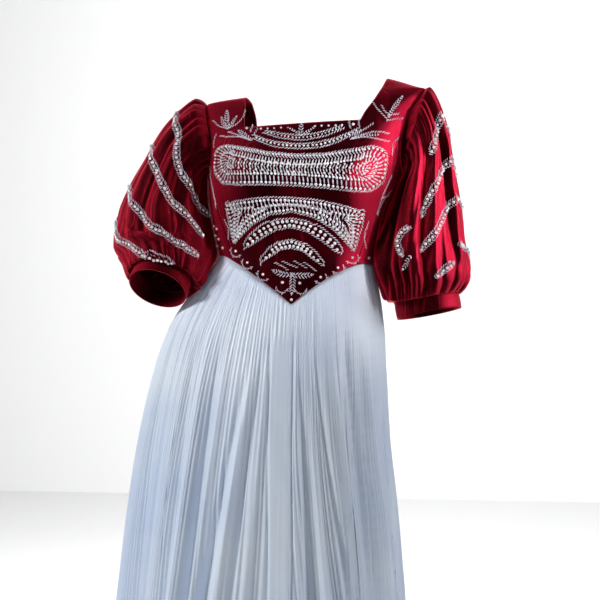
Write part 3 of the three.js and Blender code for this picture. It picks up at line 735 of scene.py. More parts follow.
def bodice_back_places(side):
    columns = (BACK_NECK_CELLS + STRAP_CELLS) * FINE
    neck_row = (BACK_SIDE_ROWS + BACK_ARM_ROWS) * FINE
    rows = neck_row + STRAP_ROWS * FINE
    j, i = grid(rows + 1, columns + 1) / FINE
    i = columns / FINE - i if side > 0 else i
    top_turn = armhole_turn(BACK_NECKLINE["level"])
    neck_angle = abs(float(angle_at(BACK_NECKLINE["half"], BACK_NECKLINE["level"], True)))
    top_edge = armhole(top_turn, True)[0]
    neck_share = (180 - neck_angle) / (180 - top_edge)
    stops = [0, BACK_NECK_CELLS, BACK_NECK_CELLS + STRAP_CELLS]
    share = np.interp(i, stops, [0, neck_share, 1])
    turn = lerp(180, top_turn, np.clip((j - BACK_SIDE_ROWS) / BACK_ARM_ROWS, 0, 1))
    arm_angle, arm_level = armhole(turn, True)
    low = j <= BACK_SIDE_ROWS
    edge_angle = np.where(low, 90, arm_angle)
    side_level = lerp(WAIST["level"], UNDERARM_LEVEL, j / BACK_SIDE_ROWS)
    edge_level = np.where(low, side_level, arm_level)
    angle, level = side * lerp(180, edge_angle, share), edge_level
    up = np.clip((j - neck_row / FINE) / STRAP_ROWS, 0, 1)
    past = np.clip((i - BACK_NECK_CELLS) / STRAP_CELLS, 0, 1)
    strap_angle, strap_level = strap_place(side, past, up, BACK_NECKLINE, True)
    strap = (j > neck_row / FINE) & (i >= BACK_NECK_CELLS)
    angle, level = np.where(strap, strap_angle, angle), np.where(strap, strap_level, level)

    def has(i, j):
        from_centre = columns - 1 - i if side > 0 else i
        return (j < neck_row) | (from_centre >= BACK_NECK_CELLS * FINE)

    return angle, level, grid_faces(rows, columns, has=has)


def velvet_panel(name, places, look):
    """A bodice panel over its solid, with its outer face on the base form."""
    angle, level, faces = places
    points, faces = weld(base_point(angle, level).reshape(-1, 3), faces)
    finish = finish_of("red velvet", look)
    return cloth_mesh(name, points, faces, finish, look.velvet_thickness)


# ---- Sleeves --------------------------------------------------------------------------------
def ring_value(side, name, at):
    """A named value of a sleeve at a place counted in rings from the armhole."""
    rows = {**SLEEVES[side], "at": np.arange(LAST_RING + 1.0)}
    return column(rows, "at", name, at)


def ring_frame(side, at):
    """The centre, directions and half sizes of a sleeve ring."""

    def value(name):
        return ring_value(side, name, at)

    lean, turn = np.radians(value("lean")), np.radians(value("forward"))
    zero = np.zeros_like(lean)
    down = np.stack([side * np.cos(lean), zero, -np.sin(lean)], -1)
    front = np.array([0.0, -1.0, 0.0])
    cos_turn, sin_turn = np.cos(turn)[..., None], np.sin(turn)[..., None]
    return {
        "centre": np.stack([value("x"), value("y"), value("z")], -1),
        "out": np.stack([side * np.sin(lean), zero, np.cos(lean)], -1),
        "fore": front * cos_turn - down * sin_turn,
        "way": down * cos_turn + front * sin_turn,
        "across": value("across"),
        "deep": value("deep"),
    }


def ring_point(ring, turn, grow=0.0):
    across = (np.cos(np.radians(turn)) * (ring["across"] + grow))[..., None]
    deep = (np.sin(np.radians(turn)) * (ring["deep"] + grow))[..., None]
    return ring["centre"] + ring["out"] * across + ring["fore"] * deep


def clear_of_bodice(side, points):
    """Presses a sleeve flat where the body of the gown is in its way."""
    x, y, z = points[..., 0], points[..., 1], points[..., 2]
    untilted = z - (x - figure("centre", z)) * np.tan(np.radians(figure("tilt", z)))
    level = np.clip(untilted, HEM_LEVEL, SHOULDER_LEVEL["armhole"])
    share = np.abs(y) / np.where(y < 0, figure("front", level), figure("back", level))
    power = figure("square", level)
    below = np.clip((WAIST["level"] - level) / SLEEVE_CLEARANCE["blend"], 0, 1)
    clear = lerp(SLEEVE_CLEARANCE["bodice"], SLEEVE_CLEARANCE["skirt"], below)
    inside = np.maximum(0, 1 - share**power) ** (1 / power)
    edge = half_width(side, level) * inside + clear
    out = side * (x - figure("centre", level))
    push = np.where((share < 1) & (out < edge), edge - out, 0)
    moved = points.copy()
    moved[..., 0] = x + side * push
    return moved


def armhole_point(side, turn):
    turned = np.mod(turn, 360)
    behind = turned > 180
    front_angle, front_level = armhole(turned, False)
    back_angle, back_level = armhole(360 - turned, True)
    angle = side * np.where(behind, back_angle, front_angle)
    return base_point(angle, np.where(behind, back_level, front_level))


# Soft creases over the gathers of a sleeve: turn and drift in degrees, the rings between
# which they run, their width in degrees and their depth. A negative depth is a furrow.
CREASE_NAMES = "turn drift start end width depth"
SLEEVE_CREASES = {
    1: table(
        CREASE_NAMES,
        [
            (8, 14, 0.2, 6.0, 4.9, -7.7),
            (30, 10, 0.3, 9.0, 6.6, 8.1),
            (47, -6, 0.4, 7.5, 4.3, -8.6),
            (66, 8, 0.6, 9.4, 7.6, 8.6),
            (84, 4, 2.5, 9.6, 3.6, -9.6),
            (102, -8, 0.4, 9.2, 7.6, 9.1),
            (122, 6, 1.0, 8.0, 4.3, -7.7),
            (146, 4, 3.0, 9.5, 8.7, 7.1),
            (176, -6, 4.0, 9.0, 5.8, -5.2),
            (205, 6, 0.5, 7.5, 8.7, 7.1),
            (236, -4, 0.4, 9.2, 4.9, -7.7),
            (262, 8, 0.5, 9.4, 8.7, 8.6),
            (290, -6, 0.6, 8.0, 4.3, -8.1),
            (318, 5, 0.3, 9.2, 7.6, 7.7),
            (345, 4, 1.5, 9.5, 4.3, -6.7),
        ],
    ),
    -1: table(
        CREASE_NAMES,
        [
            (4, 8, 0.2, 8.0, 6.6, 4.1),
            (24, 14, 0.4, 6.5, 3.7, -4.9),
            (44, 20, 0.3, 8.5, 6.6, 4.9),
            (62, 18, 0.5, 7.0, 3.7, -4.6),
            (84, 16, 0.6, 9.2, 6.6, 4.9),
            (106, 8, 1.5, 8.4, 3.7, -4.6),
            (128, -6, 0.5, 9.0, 6.6, 4.3),
            (150, 4, 2.5, 9.4, 5.0, -3.5),
            (184, 6, 3.5, 9.0, 8.5, 3.2),
            (212, -8, 0.6, 8.0, 4.3, -4.3),
            (240, 6, 0.4, 9.4, 7.6, 4.9),
            (268, -4, 0.5, 8.6, 3.7, -4.6),
            (296, 8, 0.4, 9.2, 7.6, 4.6),
            (322, -6, 1.0, 8.2, 3.7, -4.1),
            (345, 4, 4.0, 9.5, 6.6, 3.8),
        ],
    ),
}


# Short pressed creases that slant the way the cloth pulls: the least of each value and how far
# the draws spread it.
SMALL_CREASES = {"count": 84, "seed": 7}
SMALL_DRAWS = {"start": (1.5, 6.2), "turn": (0, 360), "drift": (4, 16), "long": (1.0, 2.0),
               "width": (2.0, 2.2), "depth": (1.0, 1.8)}


def drawn(draws, limits, count):
    """Numbers from the least of a value over its spread."""
    least, spread = limits
    return least + spread * draws.random(count)


def either_way(draws, count):
    return np.where(draws.random(count) < 0.5, -1, 1)


def small_creases(side):
    draws = np.random.default_rng(SMALL_CREASES["seed"] + side)
    count = SMALL_CREASES["count"]
    values = {name: drawn(draws, limits, count) for name, limits in SMALL_DRAWS.items()}
    values["end"] = values["start"] + values["long"]
    values["depth"] = values["depth"] * either_way(draws, count)
    return values


CREASES = {
    side: {name: np.concatenate([large[name], small[name]]) for name in large}
    for side, large, small in ((k, v, small_creases(k)) for k, v in SLEEVE_CREASES.items())
}


def crease_depth(side, turn, at):
    creases = CREASES[side]
    total = np.zeros(np.broadcast(turn, at).shape)
    for k in range(len(creases["turn"])):
        start, end = creases["start"][k], creases["end"][k]
        run = np.clip((at - start) / (end - start), 0, 1)
        centre = creases["turn"][k] + creases["drift"][k] * run
        away = (turn - centre + 180) % 360 - 180
        rise = np.sin(np.pi * run) ** 0.7
        total = total + creases["depth"][k] * rise * np.exp(-((away / creases["width"][k]) ** 2))
    return total


# Slow waves that make the gathers uneven and vary their strength: how many go round, their
# phase, the change of phase from ring to ring, and their size.
GATHER_WANDER = ((2, 0.4, 0.3, 1), (5, 1.2, -0.5, 0.8))
GATHER_STRENGTH = ((3, 2, 0, 0.35), (7, 0, 0, 0.3))


def slow_waves(rows, radians, at):
    return sum(size * np.sin(n * radians + phase + turn * at) for n, phase, turn, size in rows)


def inner_bulge(bulge, side, turn, at):
    """How far the lower bulge of a sleeve comes out on its inner side."""
    inner = np.exp(-(((turn % 360 - 180) / bulge["width"]) ** 2))
    return bulge[side] * inner * smooth(*bulge["comes"], at) * (1 - smooth(*bulge["goes"], at))


def sleeve_point(side, turn, at):
    """Points of a sleeve's outer face: turn goes from the outer line over the front."""
    turn, at = np.broadcast_arrays(np.asarray(turn, float), np.asarray(at, float))
    radians = np.radians(turn)
    uneven = slow_waves(GATHER_WANDER, radians, at)
    fold = 2 * np.abs(np.sin(radians * SLEEVE_GATHERS / 2 + uneven * GATHER_UNEVEN)) ** 0.8 - 1
    strength = 1 + slow_waves(GATHER_STRENGTH, radians, at)
    wave = fold * strength * ring_value(side, "gather", at)
    wave = wave + crease_depth(side, turn, at) * np.clip(at, 0, 1)
    wave = wave + inner_bulge(INNER_SWELL, side, turn, at)
    shaped = clear_of_bodice(side, ring_point(ring_frame(side, at), turn, wave))
    shaped[..., 2] += inner_bulge(HEM_LIFT, side, turn, at)
    seam = armhole_point(side, turn)
    middle = (armhole_point(side, 0) + armhole_point(side, 180)) / 2
    inward = middle - seam
    inward[..., 0] = 0
    seam = seam + unit(inward) * ARMHOLE_EASE
    seam[..., 0] += side * ARMHOLE_EASE
    blend = np.clip(at, 0, 1)[..., None]
    return lerp(seam, shaped, blend)


def sleeve_normal(side, turn, at):
    turn, at = np.broadcast_arrays(np.asarray(turn, float), np.asarray(at, float))
    step = 0.05
    around = sleeve_point(side, turn + 2, at) - sleeve_point(side, turn - 2, at)
    high = np.clip(at + step, 0, LAST_RING)
    low = np.clip(at - step, 0, LAST_RING)
    along = sleeve_point(side, turn, high) - sleeve_point(side, turn, low)
    return unit(np.cross(around, along) * side)


def tube_mesh(name, side, points, look):
    """A sleeve's or a cuff's mesh from rows of points, each of them one whole turn."""
    faces = grid_faces(len(points) - 1, points.shape[1], wrap=True)
    finish, points = finish_of(SLEEVE_FINISH[side], look), points.reshape(-1, 3)
    return cloth_mesh(name, points, faces, finish, look.velvet_thickness)


def sleeve_piece(side, word, look):
    columns, rows = look.sleeve_columns, look.sleeve_rows
    j, i = grid(rows + 1, columns)
    points = sleeve_point(side, -side * 360 * i / columns, LAST_RING * (1 - j / rows))
    piece = tube_mesh(f"velvet_sleeve_{word}", side, points, look)
    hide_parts(f"sleeve_{word}_front", f"sleeve_{word}_back")


def cuff_piece(side, word, look):
    """A narrow band with a soft turned edge."""
    columns, rows = CUFF["columns"], CUFF["rows"]
    end = ring_frame(side, np.array(float(LAST_RING)))
    j, i = grid(rows + 1, columns)
    turn = -side * 360 * i / columns
    down = 1 - j / rows
    ring = {key: np.broadcast_to(value, (*turn.shape, *value.shape)) for key, value in end.items()}
    puff = CUFF["puff"] * np.sin(np.pi * down)
    points = ring_point(ring, turn, CUFF["flare"] * down - CUFF["inside"] + puff)
    points = points + ring["way"] * lerp(SEAM_GAP, CUFF["length"], down)[..., None]
    piece = tube_mesh(f"velvet_cuff_{word}", side, points, look)
    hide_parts(f"cuff_{word}")


# ---- Skirt ----------------------------------------------------------------------------------
GORES = (
    "front_left",
    "side_front_left",
    "side_back_left",
    "back_left",
    "back_right",
    "side_back_right",
    "side_front_right",
    "front_right",
)
# How far the pleats fan out from their places at the waist, in degrees, on the way to the fan
# level, and further below it.
PLEAT_FAN = table(
    "angle drift",
    [(-120, 0), (-90, -1), (-60, -3), (-40, -6), (-25, -7), (-10, -3.5), (0, 0), (10, 7),
     (20, 12), (35, 16), (50, 13), (70, 8), (90, 3), (120, 0)],
)
FAN_LEVELS = {"start": -330, "full": -850}
# The plain centre front strip: its centre, half width, top, edge grooves and ripple.
STRIP = {"centre": -13, "half": 17, "top": -385, "groove": 2.6, "edge": 2.2, "ripple": 0.8}
RIPPLE = {"step": 3.6, "drift": 31}
# Long folds of the front, from the level where each starts down to the low level: their places
# across the front, half width and depth. A negative depth is a trough.
LOW_LEVEL = -810
FRONT_FOLDS = table(
    "top start low width depth",
    [
        (-155, -400, -196, 9, -11),
        (-132, -380, -172, 10, 9),
        (-112, -390, -160, 6, -9),
        (-95, -400, -146, 8, 9),
        (-70, -470, -131, 6, -12),
        (-56, -440, -104, 8, 10),
        (-42, -420, -82, 5, -8),
        (-31, -400, -58, 6, 5),
        (16, -450, 43, 6, -10),
        (27, -430, 66, 8, 8),
        (37, -410, 96, 5, -9),
        (60, -400, 116, 8, 7),
        (84, -390, 134, 6, -9),
        (108, -380, 150, 8, 7),
    ],
)
# The skirt's top edge is tucked up inside the bodice's.
TUCK = {"up": 4, "below": 9, "in": 2.5}


def skirt_out(angle, level):
    """How far the large folds stand out."""
    total = np.zeros(np.broadcast(angle, level).shape)
    for k in range(len(SKIRT_FOLDS["angle"])):
        away = (angle - SKIRT_FOLDS["angle"][k] + 180) % 360 - 180
        start = SKIRT_FOLDS["start"][k]
        grown = np.clip((start - level) / (start - HEM_LEVEL), 0, 1) ** 0.8
        width = SKIRT_FOLDS["width"][k]
        total = total + SKIRT_FOLDS["depth"][k] * grown * np.exp(-((away / width) ** 2))
    return total


def front_out(x, level):
    """How far the long folds of the front stand out."""
    total = np.zeros(x.shape)
    for top, start, low, width, depth in zip(*FRONT_FOLDS.values()):
        down = (start - level) / (start - LOW_LEVEL)
        grown = np.clip(down, 0, 1) ** 0.6
        away = (x - lerp(top, low, down)) / (width * (0.6 + 0.5 * np.clip(down, 0, 2)))
        total += depth * grown * np.exp(-(away**2))
    return total


def waist_angle(angle, level):
    """The angle at the waist of the pleat that passes a place."""
    turned = (angle + 180) % 360 - 180
    way = (FAN_LEVELS["start"] - level) / (FAN_LEVELS["start"] - FAN_LEVELS["full"])
    share = np.clip(way, 0, 1.15)
    return turned - column(PLEAT_FAN, "angle", "drift", turned) * share


# The uneven pleats and the creases among them, drawn once: the least of each value and how far
# the draws spread it. A crease starts at a level; its width and drift are in degrees.
PLEAT_SEED = 41
PLEAT_DRAWS = {"width": (0.55, 0.9), "strength": (0.35, 0.8), "lean": (0.3, 0.4),
               "pulse": (0, 6.28)}
CREASE_DRAWS = {"apart": (0, 0.7), "start": (-285, -330), "width": (1.5, 2.9),
                "depth": (3.0, 9.0), "drift": (-2.5, 5)}
START_POWER = 1.6  # makes most of the creases start high up
CREASE_GROWTH = 420  # how far down a crease reaches its full depth
FRONT_CREASES = 0.6  # the depth of the creases in front, against those behind
STRIP_BLEND = {"top": 30, "side": 3, "groove": 2}
ROW_POWER = 1.1  # crowds the skirt's rows toward the hem


def pleat_field(look):
    """The uneven pleats and creases of the whole skirt, drawn once."""
    draws = np.random.default_rng(PLEAT_SEED)
    count, creases = look.gore_pleats * len(GORES), look.crease_count
    widths = drawn(draws, PLEAT_DRAWS["width"], count)
    sizes = draws.random(creases)
    places = np.arange(creases) + drawn(draws, CREASE_DRAWS["apart"], creases)
    field = {
        "edges": np.concatenate([[0], np.cumsum(widths)]) / widths.sum() * 360 - 180,
        "place": places / creases * 360 - 180,
    }
    for name in ("strength", "lean", "pulse"):
        field[name] = drawn(draws, PLEAT_DRAWS[name], count + 1)
    least, spread = CREASE_DRAWS["start"]
    field["start"] = least + spread * draws.random(creases) ** START_POWER
    for name in ("width", "depth"):
        least, spread = CREASE_DRAWS[name]
        field[name] = least + spread * sizes
    field["depth"] = field["depth"] * either_way(draws, creases)
    field["drift"] = drawn(draws, CREASE_DRAWS["drift"], creases)
    return field


def pleat_out(field, angle, level):
    """How far the pleats and the middling creases stand out at a place."""
    source = waist_angle(angle, level)
    down = np.clip((WAIST["level"] - level) / (WAIST["level"] - HEM_LEVEL), 0, 1)
    wander = 0.5 * np.sin(9 * down + source * 0.21) + 0.35 * np.sin(21 * down + source * 0.47)
    source = source + wander * down
    position = np.interp(source, field["edges"], np.arange(len(field["edges"])))
    index = np.clip(position.astype(int), 0, len(field["strength"]) - 1)
    t = position - np.floor(position)
    lean = field["lean"][index]
    ramp = np.where(t < lean, t / lean, (1 - t) / (1 - lean))
    profile = 2 * lerp(ramp, 0.5 - 0.5 * np.cos(np.pi * ramp), 0.6) - 1
    strength = np.interp(position, np.arange(len(field["strength"])) + 0.5, field["strength"])
    strength = strength * (1 + 0.35 * np.sin(11 * down + field["pulse"][index]))
    pleats = profile * strength * column(PLEAT_DEPTH, "level", "half", level)
    creases = np.zeros_like(pleats)
    for k, depth in enumerate(field["depth"]):
        grown = np.clip((field["start"][k] - level) / CREASE_GROWTH, 0, 1) ** 0.8
        centre = field["place"][k] + field["drift"][k] * grown * down
        away = (source - centre + 180) % 360 - 180
        width = field["width"][k] * (0.6 + 0.8 * down)
        creases += depth * grown * (0.4 + 0.6 * down) * np.exp(-((away / width) ** 2))
    return pleats, creases


def skirt_piece(word, start, field, look):
    columns, rows = look.gore_columns, look.skirt_rows
    j, i = grid(rows + 1, columns + 1)
    angle = start + 360 / len(GORES) * i / columns
    waist = waist_level(angle)
    level = lerp(waist + TUCK["up"], HEM_LEVEL, (1 - j / rows) ** ROW_POWER)
    base, normal = base_point(angle, level), base_normal(angle, level)
    pleats, creases = pleat_out(field, angle, level)
    in_front = base[..., 1] < 0
    off_strip = np.abs(base[..., 0] - figure("centre", level) - STRIP["centre"])
    half, blend, top = STRIP["half"], STRIP_BLEND["side"], -STRIP["top"]
    below = smooth(top, STRIP_BLEND["top"] + top, -level) * in_front
    plain = (1 - smooth(half - blend, half + blend, off_strip)) * below
    off_groove = (off_strip - half - STRIP_BLEND["groove"]) / STRIP["edge"]
    groove = np.exp(-(off_groove**2)) * below
    drift = 2 * np.sin(level / RIPPLE["drift"])
    ripple = STRIP["ripple"] * np.sin(level / RIPPLE["step"] + drift) * plain
    tucked = smooth(waist - TUCK["below"], waist, level)
    small = pleats * look.pleat_depth + creases * np.where(in_front, FRONT_CREASES, 1)
    out = skirt_out(angle, level) + small * (1 - 0.9 * plain)
    out = out + front_out(base[..., 0], level) * in_front
    out = (out - STRIP["groove"] * groove + ripple) * (1 - tucked) - lerp(1, TUCK["in"], tucked)
    points = (base + normal * out[..., None]).reshape(-1, 3)
    faces, finish = grid_faces(rows, columns), finish_of("white pleated cloth", look)
    name = f"pleated_skirt_{word}"
    piece = cloth_mesh(name, points, faces, finish, look.skirt_thickness)
    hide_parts(f"skirt_{word}")


# ---- Bead embroidery ------------------------------------------------------------------------
PEARL_LIFT = 0.42  # how far a bead's middle stands off the cloth, against its width
UNEVEN = {"place": 0.2, "end": 0.3, "size": 0.05}  # the spread of handwork; size is a share


def ball(sides, rings):
    """Points and triangles of a unit ball with its poles on X."""
    polar = np.pi * np.arange(1, rings + 1)[:, None] / (rings + 1)
    turn = 2 * np.pi * np.arange(sides)[None] / sides
    along = np.cos(polar) + 0 * turn
    points = np.stack([along, np.sin(polar) * np.cos(turn), np.sin(polar) * np.sin(turn)], -1)
    points = np.vstack([points.reshape(-1, 3), [(1, 0, 0), (-1, 0, 0)]])
    quads = grid_faces(rings - 1, sides, wrap=True)
    first = np.arange(sides)
    after = (first + 1) % sides
    last = first + (rings - 1) * sides
    start, end = np.full(sides, rings * sides), np.full(sides, rings * sides + 1)
    caps = [
        np.stack([start, after, first], 1),
        np.stack([end, last, (rings - 1) * sides + after], 1),
    ]
    return points, np.vstack([quads[:, [0, 1, 2]], quads[:, [0, 2, 3]], *caps])


PEARL = ball(10, 6)
STITCH = ball(5, 3)


class Beadwork:
    """Gathers pearls and stitches, a little uneven by hand, and joins them into one mesh."""

    def __init__(self):
        self.points, self.faces, self.kinds, self.count = [], [], [], 0
        self.draws = np.random.default_rng(5)

    def uneven(self, points, spread):
        return points + self.draws.normal(0, spread, points.shape)

    def add(self, form, kind, centres, along, up, sizes):
        """Copies of a form at centres, with sizes along, across and up from the cloth."""
        points, faces = form
        along = unit(along - up * (along * up).sum(-1, keepdims=True))
        frames = np.stack([along, np.cross(up, along), up], axis=1)
        sizes = np.broadcast_to(np.asarray(sizes, float), (len(centres), 3)) / 2
        scaled = points[None] * sizes[:, None]
        placed = np.einsum("nki,nij->nkj", scaled, frames) + centres[:, None]
        offsets = self.count + np.arange(len(centres)) * len(points)
        self.points.append(placed.reshape(-1, 3))
        self.faces.append((faces[None] + offsets[:, None, None]).reshape(-1, 3))
        self.kinds.append(np.full(len(centres) * len(faces), kind))
        self.count += len(centres) * len(points)

    def pearls(self, ground, places, size):
        if len(places):
            points, up = ground(places)
            size = self.uneven(np.full((len(points), 1), float(size)), UNEVEN["size"] * size)
            along = np.cross(up, (0.3, 0.2, 0.9))
            centres = self.uneven(points, UNEVEN["place"]) + up * size * PEARL_LIFT
            self.add(PEARL, 0, centres, along, up, size * np.array([[1, 1, 0.86]]))

    def stitches(self, ground, starts, ends, width):
        """A raised stitch from each start to its end."""
        if len(starts):
            first, up = ground(starts)
            last, _ = ground(ends)
            first, last = self.uneven(first, UNEVEN["end"]), self.uneven(last, UNEVEN["end"])
            along = last - first
            length = np.linalg.norm(along, axis=1, keepdims=True)
            centres = (first + last) / 2 + up * width * 0.5
            sizes = np.hstack([length, np.full((len(length), 2), width)])
            self.add(STITCH, 1, centres, along, up, sizes)

    def object(self, name, look):
        points, faces = np.vstack(self.points), np.vstack(self.faces)
        pearl, thread = finish_of("silver pearl", look), finish_of("silver thread", look)
        piece = make_mesh(name, points, faces, pearl)
        piece.data.materials.append(thread)
        kinds = np.concatenate(self.kinds).astype(np.int32)
        piece.data.polygons.foreach_set("material_index", kinds)
        return piece


def bodice_ground(places):
    """Points and normals of the bodice at places across and up, in millimetres."""
    x, level = places[:, 0], places[:, 1]
    angle = angle_at(x, level)
    return base_point(angle, level), base_normal(angle, level)


def sleeve_ground(side):
    """Points and normals of a sleeve at places in degrees round it and rings along it."""

    def ground(places):
        turn, at = places[:, 0], places[:, 1]
        return sleeve_point(side, turn, at), sleeve_normal(side, turn, at)

    return ground


def route(knots):
    """A dense smooth curve through knots."""
    knots = np.asarray(knots, float)
    knots = np.vstack([2 * knots[0] - knots[1], knots, 2 * knots[-1] - knots[-2]])
    t = np.arange(24)[:, None] / 24
    spans = []
    for a, b, c, d in zip(knots, knots[1:], knots[2:], knots[3:]):
        curve = 2 * b + (c - a) * t + (2 * a - 5 * b + 4 * c - d) * t**2
        spans.append((curve + (3 * b - a - 3 * c + d) * t**3) / 2)
    return np.vstack([*spans, knots[-2:-1]])


def spaced(ground, places, step, start=0.0):
    """Places at even steps of real length along a curve."""
    points, _ = ground(places)
    run = np.concatenate([[0], np.cumsum(np.linalg.norm(np.diff(points, axis=0), axis=1))])
    count = max(1, int(round((run[-1] - 2 * start) / step)))
    at = np.linspace(start, run[-1] - start, count + 1)
    return np.stack([np.interp(at, run, places[:, k]) for k in (0, 1)], 1)


def moved(ground, places, directions, distance):
    """Places moved over the cloth by real distances in directions given in space."""
    aside, onward = 0.25, 0.05
    points, _ = ground(places)
    across = (ground(places + (aside, 0))[0] - points) / aside
    along = (ground(places + (0, onward))[0] - points) / onward
    aa, bb = (across * across).sum(-1), (along * along).sum(-1)
    ab = (across * along).sum(-1)
    wish = directions * np.broadcast_to(distance, len(places))[:, None]
    wa, wb = (wish * across).sum(-1), (wish * along).sum(-1)
    area = np.maximum(aa * bb - ab * ab, 1e-9)
    return places + np.stack([(wa * bb - wb * ab) / area, (wb * aa - wa * ab) / area], 1)


def headings(ground, places):
    """The direction of a curve at its places, and the direction to its left."""
    points, up = ground(places)
    heading = np.gradient(points, axis=0) if len(points) > 1 else np.zeros_like(points)
    heading = unit(heading - up * (heading * up).sum(-1, keepdims=True))
    return heading, np.cross(up, heading)


def rope(work, ground, knots, step=5.0, length=6.6, width=1.6, slant=32):
    """A line of overlapping stitches that slant across it, in degrees."""
    places = spaced(ground, route(knots), step)
    heading, left = headings(ground, places)
    turn = np.radians(slant)
    way = heading * math.cos(turn) + left * math.sin(turn)
    starts = moved(ground, places, way, -length / 2)
    ends = moved(ground, places, way, length / 2)
    work.stitches(ground, starts, ends, width)


FROND = {"step": 4.6, "width": 1.8}


def frond(work, ground, knots, reach):
    """A leafy stem: pairs of leaves that point forward, shorter toward both ends."""
    places = spaced(ground, route(knots), FROND["step"])
    heading, left = headings(ground, places)
    t = np.linspace(0.12, 1, len(places))
    size = reach * (0.6 + 0.75 * np.sin(np.pi * t) ** 0.8)
    for sign in (-1, 1):
        way = unit(heading * 0.72 + sign * left * 0.7)
        work.stitches(ground, places, moved(ground, places, way, size), FROND["width"])
    tip = moved(ground, places[-1:], heading[-1:], reach)
    work.stitches(ground, places[-1:], tip, FROND["width"])


# Outlines of the raised bands: half widths from the centre line, with their two levels.
BUST_BAND = table(
    "out top bottom",
    [(0, -113, -165), (45, -111, -166), (90, -102, -168), (118, -96, -166), (134, -100, -152),
     (141, -114, -136)],
)
FAN_BAND = table(
    "out top bottom",
    [(0, -181, -206), (35, -182, -212), (65, -186, -229), (88, -190, -252), (97, -192, -262),
     (106, -194, -225), (112, -196, -203)],
)
ARCH_BAND = table(
    "out top bottom",
    [(0, -213, -230), (25, -216, -235), (50, -229, -250), (70, -246, -264), (80, -260, -266)],
)
CREST_BAND = table(
    "out top bottom",
    [(0, -246, -262), (18, -251, -266), (36, -264, -279), (52, -283, -289)],
)
EDGE_INSET = 1.4
TIP = 0.97  # the share of a band's reach where its end begins


def band_edge(band):
    """A band's outline as a dense closed loop from its left end over its top."""
    out = np.linspace(0, band["out"][-1], 160)
    right_top, right_bottom = (
        np.stack([out, np.interp(out, band["out"], band[name])], 1) for name in ("top", "bottom")
    )
    mirror = np.array([-1, 1])
    loop = np.vstack(
        [right_top[::-1] * mirror, right_top[1:], right_bottom[::-1], right_bottom[1:] * mirror]
    )
    return np.vstack([loop, loop[:1]])


def band_ring(edge, spine_half, spine_level, inset, step):
    """Places at even steps round a band, inset from its edge toward its spine."""
    spine_x = np.clip(edge[:, 0], -spine_half, spine_half)
    spine = np.stack([spine_x, spine_level(spine_x)], 1)
    inward = spine - edge
    room = np.linalg.norm(inward, axis=1)
    inward = inward / np.maximum(room, 1e-6)[:, None]
    ring = edge + inward * np.minimum(inset, room)[:, None]
    run = np.concatenate([[0], np.cumsum(np.linalg.norm(np.diff(ring, axis=0), axis=1))])
    count = max(4, int(round(run[-1] / step)))
    at = np.arange(count) * run[-1] / count

    def pick(values):
        return np.interp(at, run, values)

    places = np.stack([pick(ring[:, 0]), pick(ring[:, 1])], 1)
    ways = unit(np.stack([pick(inward[:, 0]), pick(inward[:, 1])], 1))
    return places, ways, pick(room) - inset


def turned(ways, degrees):
    c, s = math.cos(math.radians(degrees)), math.sin(math.radians(degrees))
    return ways @ np.array([[c, s], [-s, c]])


def edging(work, band):
    """A slanted rope just inside a band's outline."""
    edge = band_edge(band)
    middle = (band["top"][0] + band["bottom"][0]) / 2
    at_tip = np.abs(edge[:, 0]) > TIP * band["out"][-1]
    across = np.where(at_tip, -np.sign(edge[:, 0]), 0)
    up = np.where(at_tip, 0, np.sign(middle - edge[:, 1]))
    rope(work, bodice_ground, (edge + EDGE_INSET * np.stack([across, up], 1))[::6])


# Rings of beads inside a band, from its edge inwards. Each row says which part of the band it
# keeps to (1 above the spine, -1 below it and round the ends, 0 only beyond its reach), that
# reach from the centre, the least room to the spine, the distance in from the edge, the step,
# the lean in degrees, and the size. A stitch goes from its start to its end; where the end is
# None, a pearl sits at the start.
ANY_ROOM = -math.inf
BUST_RINGS = (
    (-1, 104, ANY_ROOM, 5.2, 6.6, 0, 4.6, 0, None),
    (-1, 104, ANY_ROOM, 5.2, 6.6, 8, 2.3, 2, 11.5),
    (1, 104, ANY_ROOM, 4.4, 5.0, 0, 3.8, 0, None),
    (1, 104, ANY_ROOM, 4.4, 5.0, 42, 1.8, 1, 6.2),
    (1, 108, 9, 9.6, 5.0, -8, 2.2, 0, 7.6),
    (1, 108, 9, 9.6, 5.0, -8, 4.2, 8.8, None),
    (-1, 104, 3, 18.5, 5.4, 0, 4.3, 0, None),
    (-1, 104, 3, 18.5, 5.4, 25, 2.0, 1, 7),
    (0, 100, 1, 28, 5.6, 0, 3.4, 0, None),
    (0, 100, 1, 28, 5.6, 0, 1.5, 0, 6.5),
)
FAN_RINGS = (
    (0, -1, ANY_ROOM, 5.6, 6.4, 0, 4.7, 0, None),
    (0, -1, 4, 5.6, 6.4, 14, 1.9, 1.5, 9),
    (0, -1, 3, 14.5, 6.0, 0, 4.5, 0, None),
    (0, -1, 3, 14.5, 6.0, -14, 1.9, 0, 8),
    (0, 60, 2, 23, 6.4, 0, 3.8, 0, None),
    (0, 60, 2, 23, 6.4, 0, 1.4, 0, 6),
)


def sew_rings(work, band, spine_half, spine, rings):
    """A band's edging and the rings of beads inside it."""
    edge = band_edge(band)
    edging(work, band)
    for part, reach, least, inset, step, lean, size, start, end in rings:
        places, ways, room = band_ring(edge, spine_half, spine, inset, step)
        far = np.abs(places[:, 0]) > reach
        level = spine(places[:, 0])
        parts = {1: (places[:, 1] > level) & ~far, -1: (places[:, 1] < level) | far, 0: far}
        kept = parts[part] & (room > least)
        places, ways = places[kept], ways[kept]
        leaning = turned(ways, lean)
        if end is None:
            work.pearls(bodice_ground, places + leaning * start, size)
        else:
            starts, ends = places + ways * start, places + leaning * end
            work.stitches(bodice_ground, starts, ends, size)


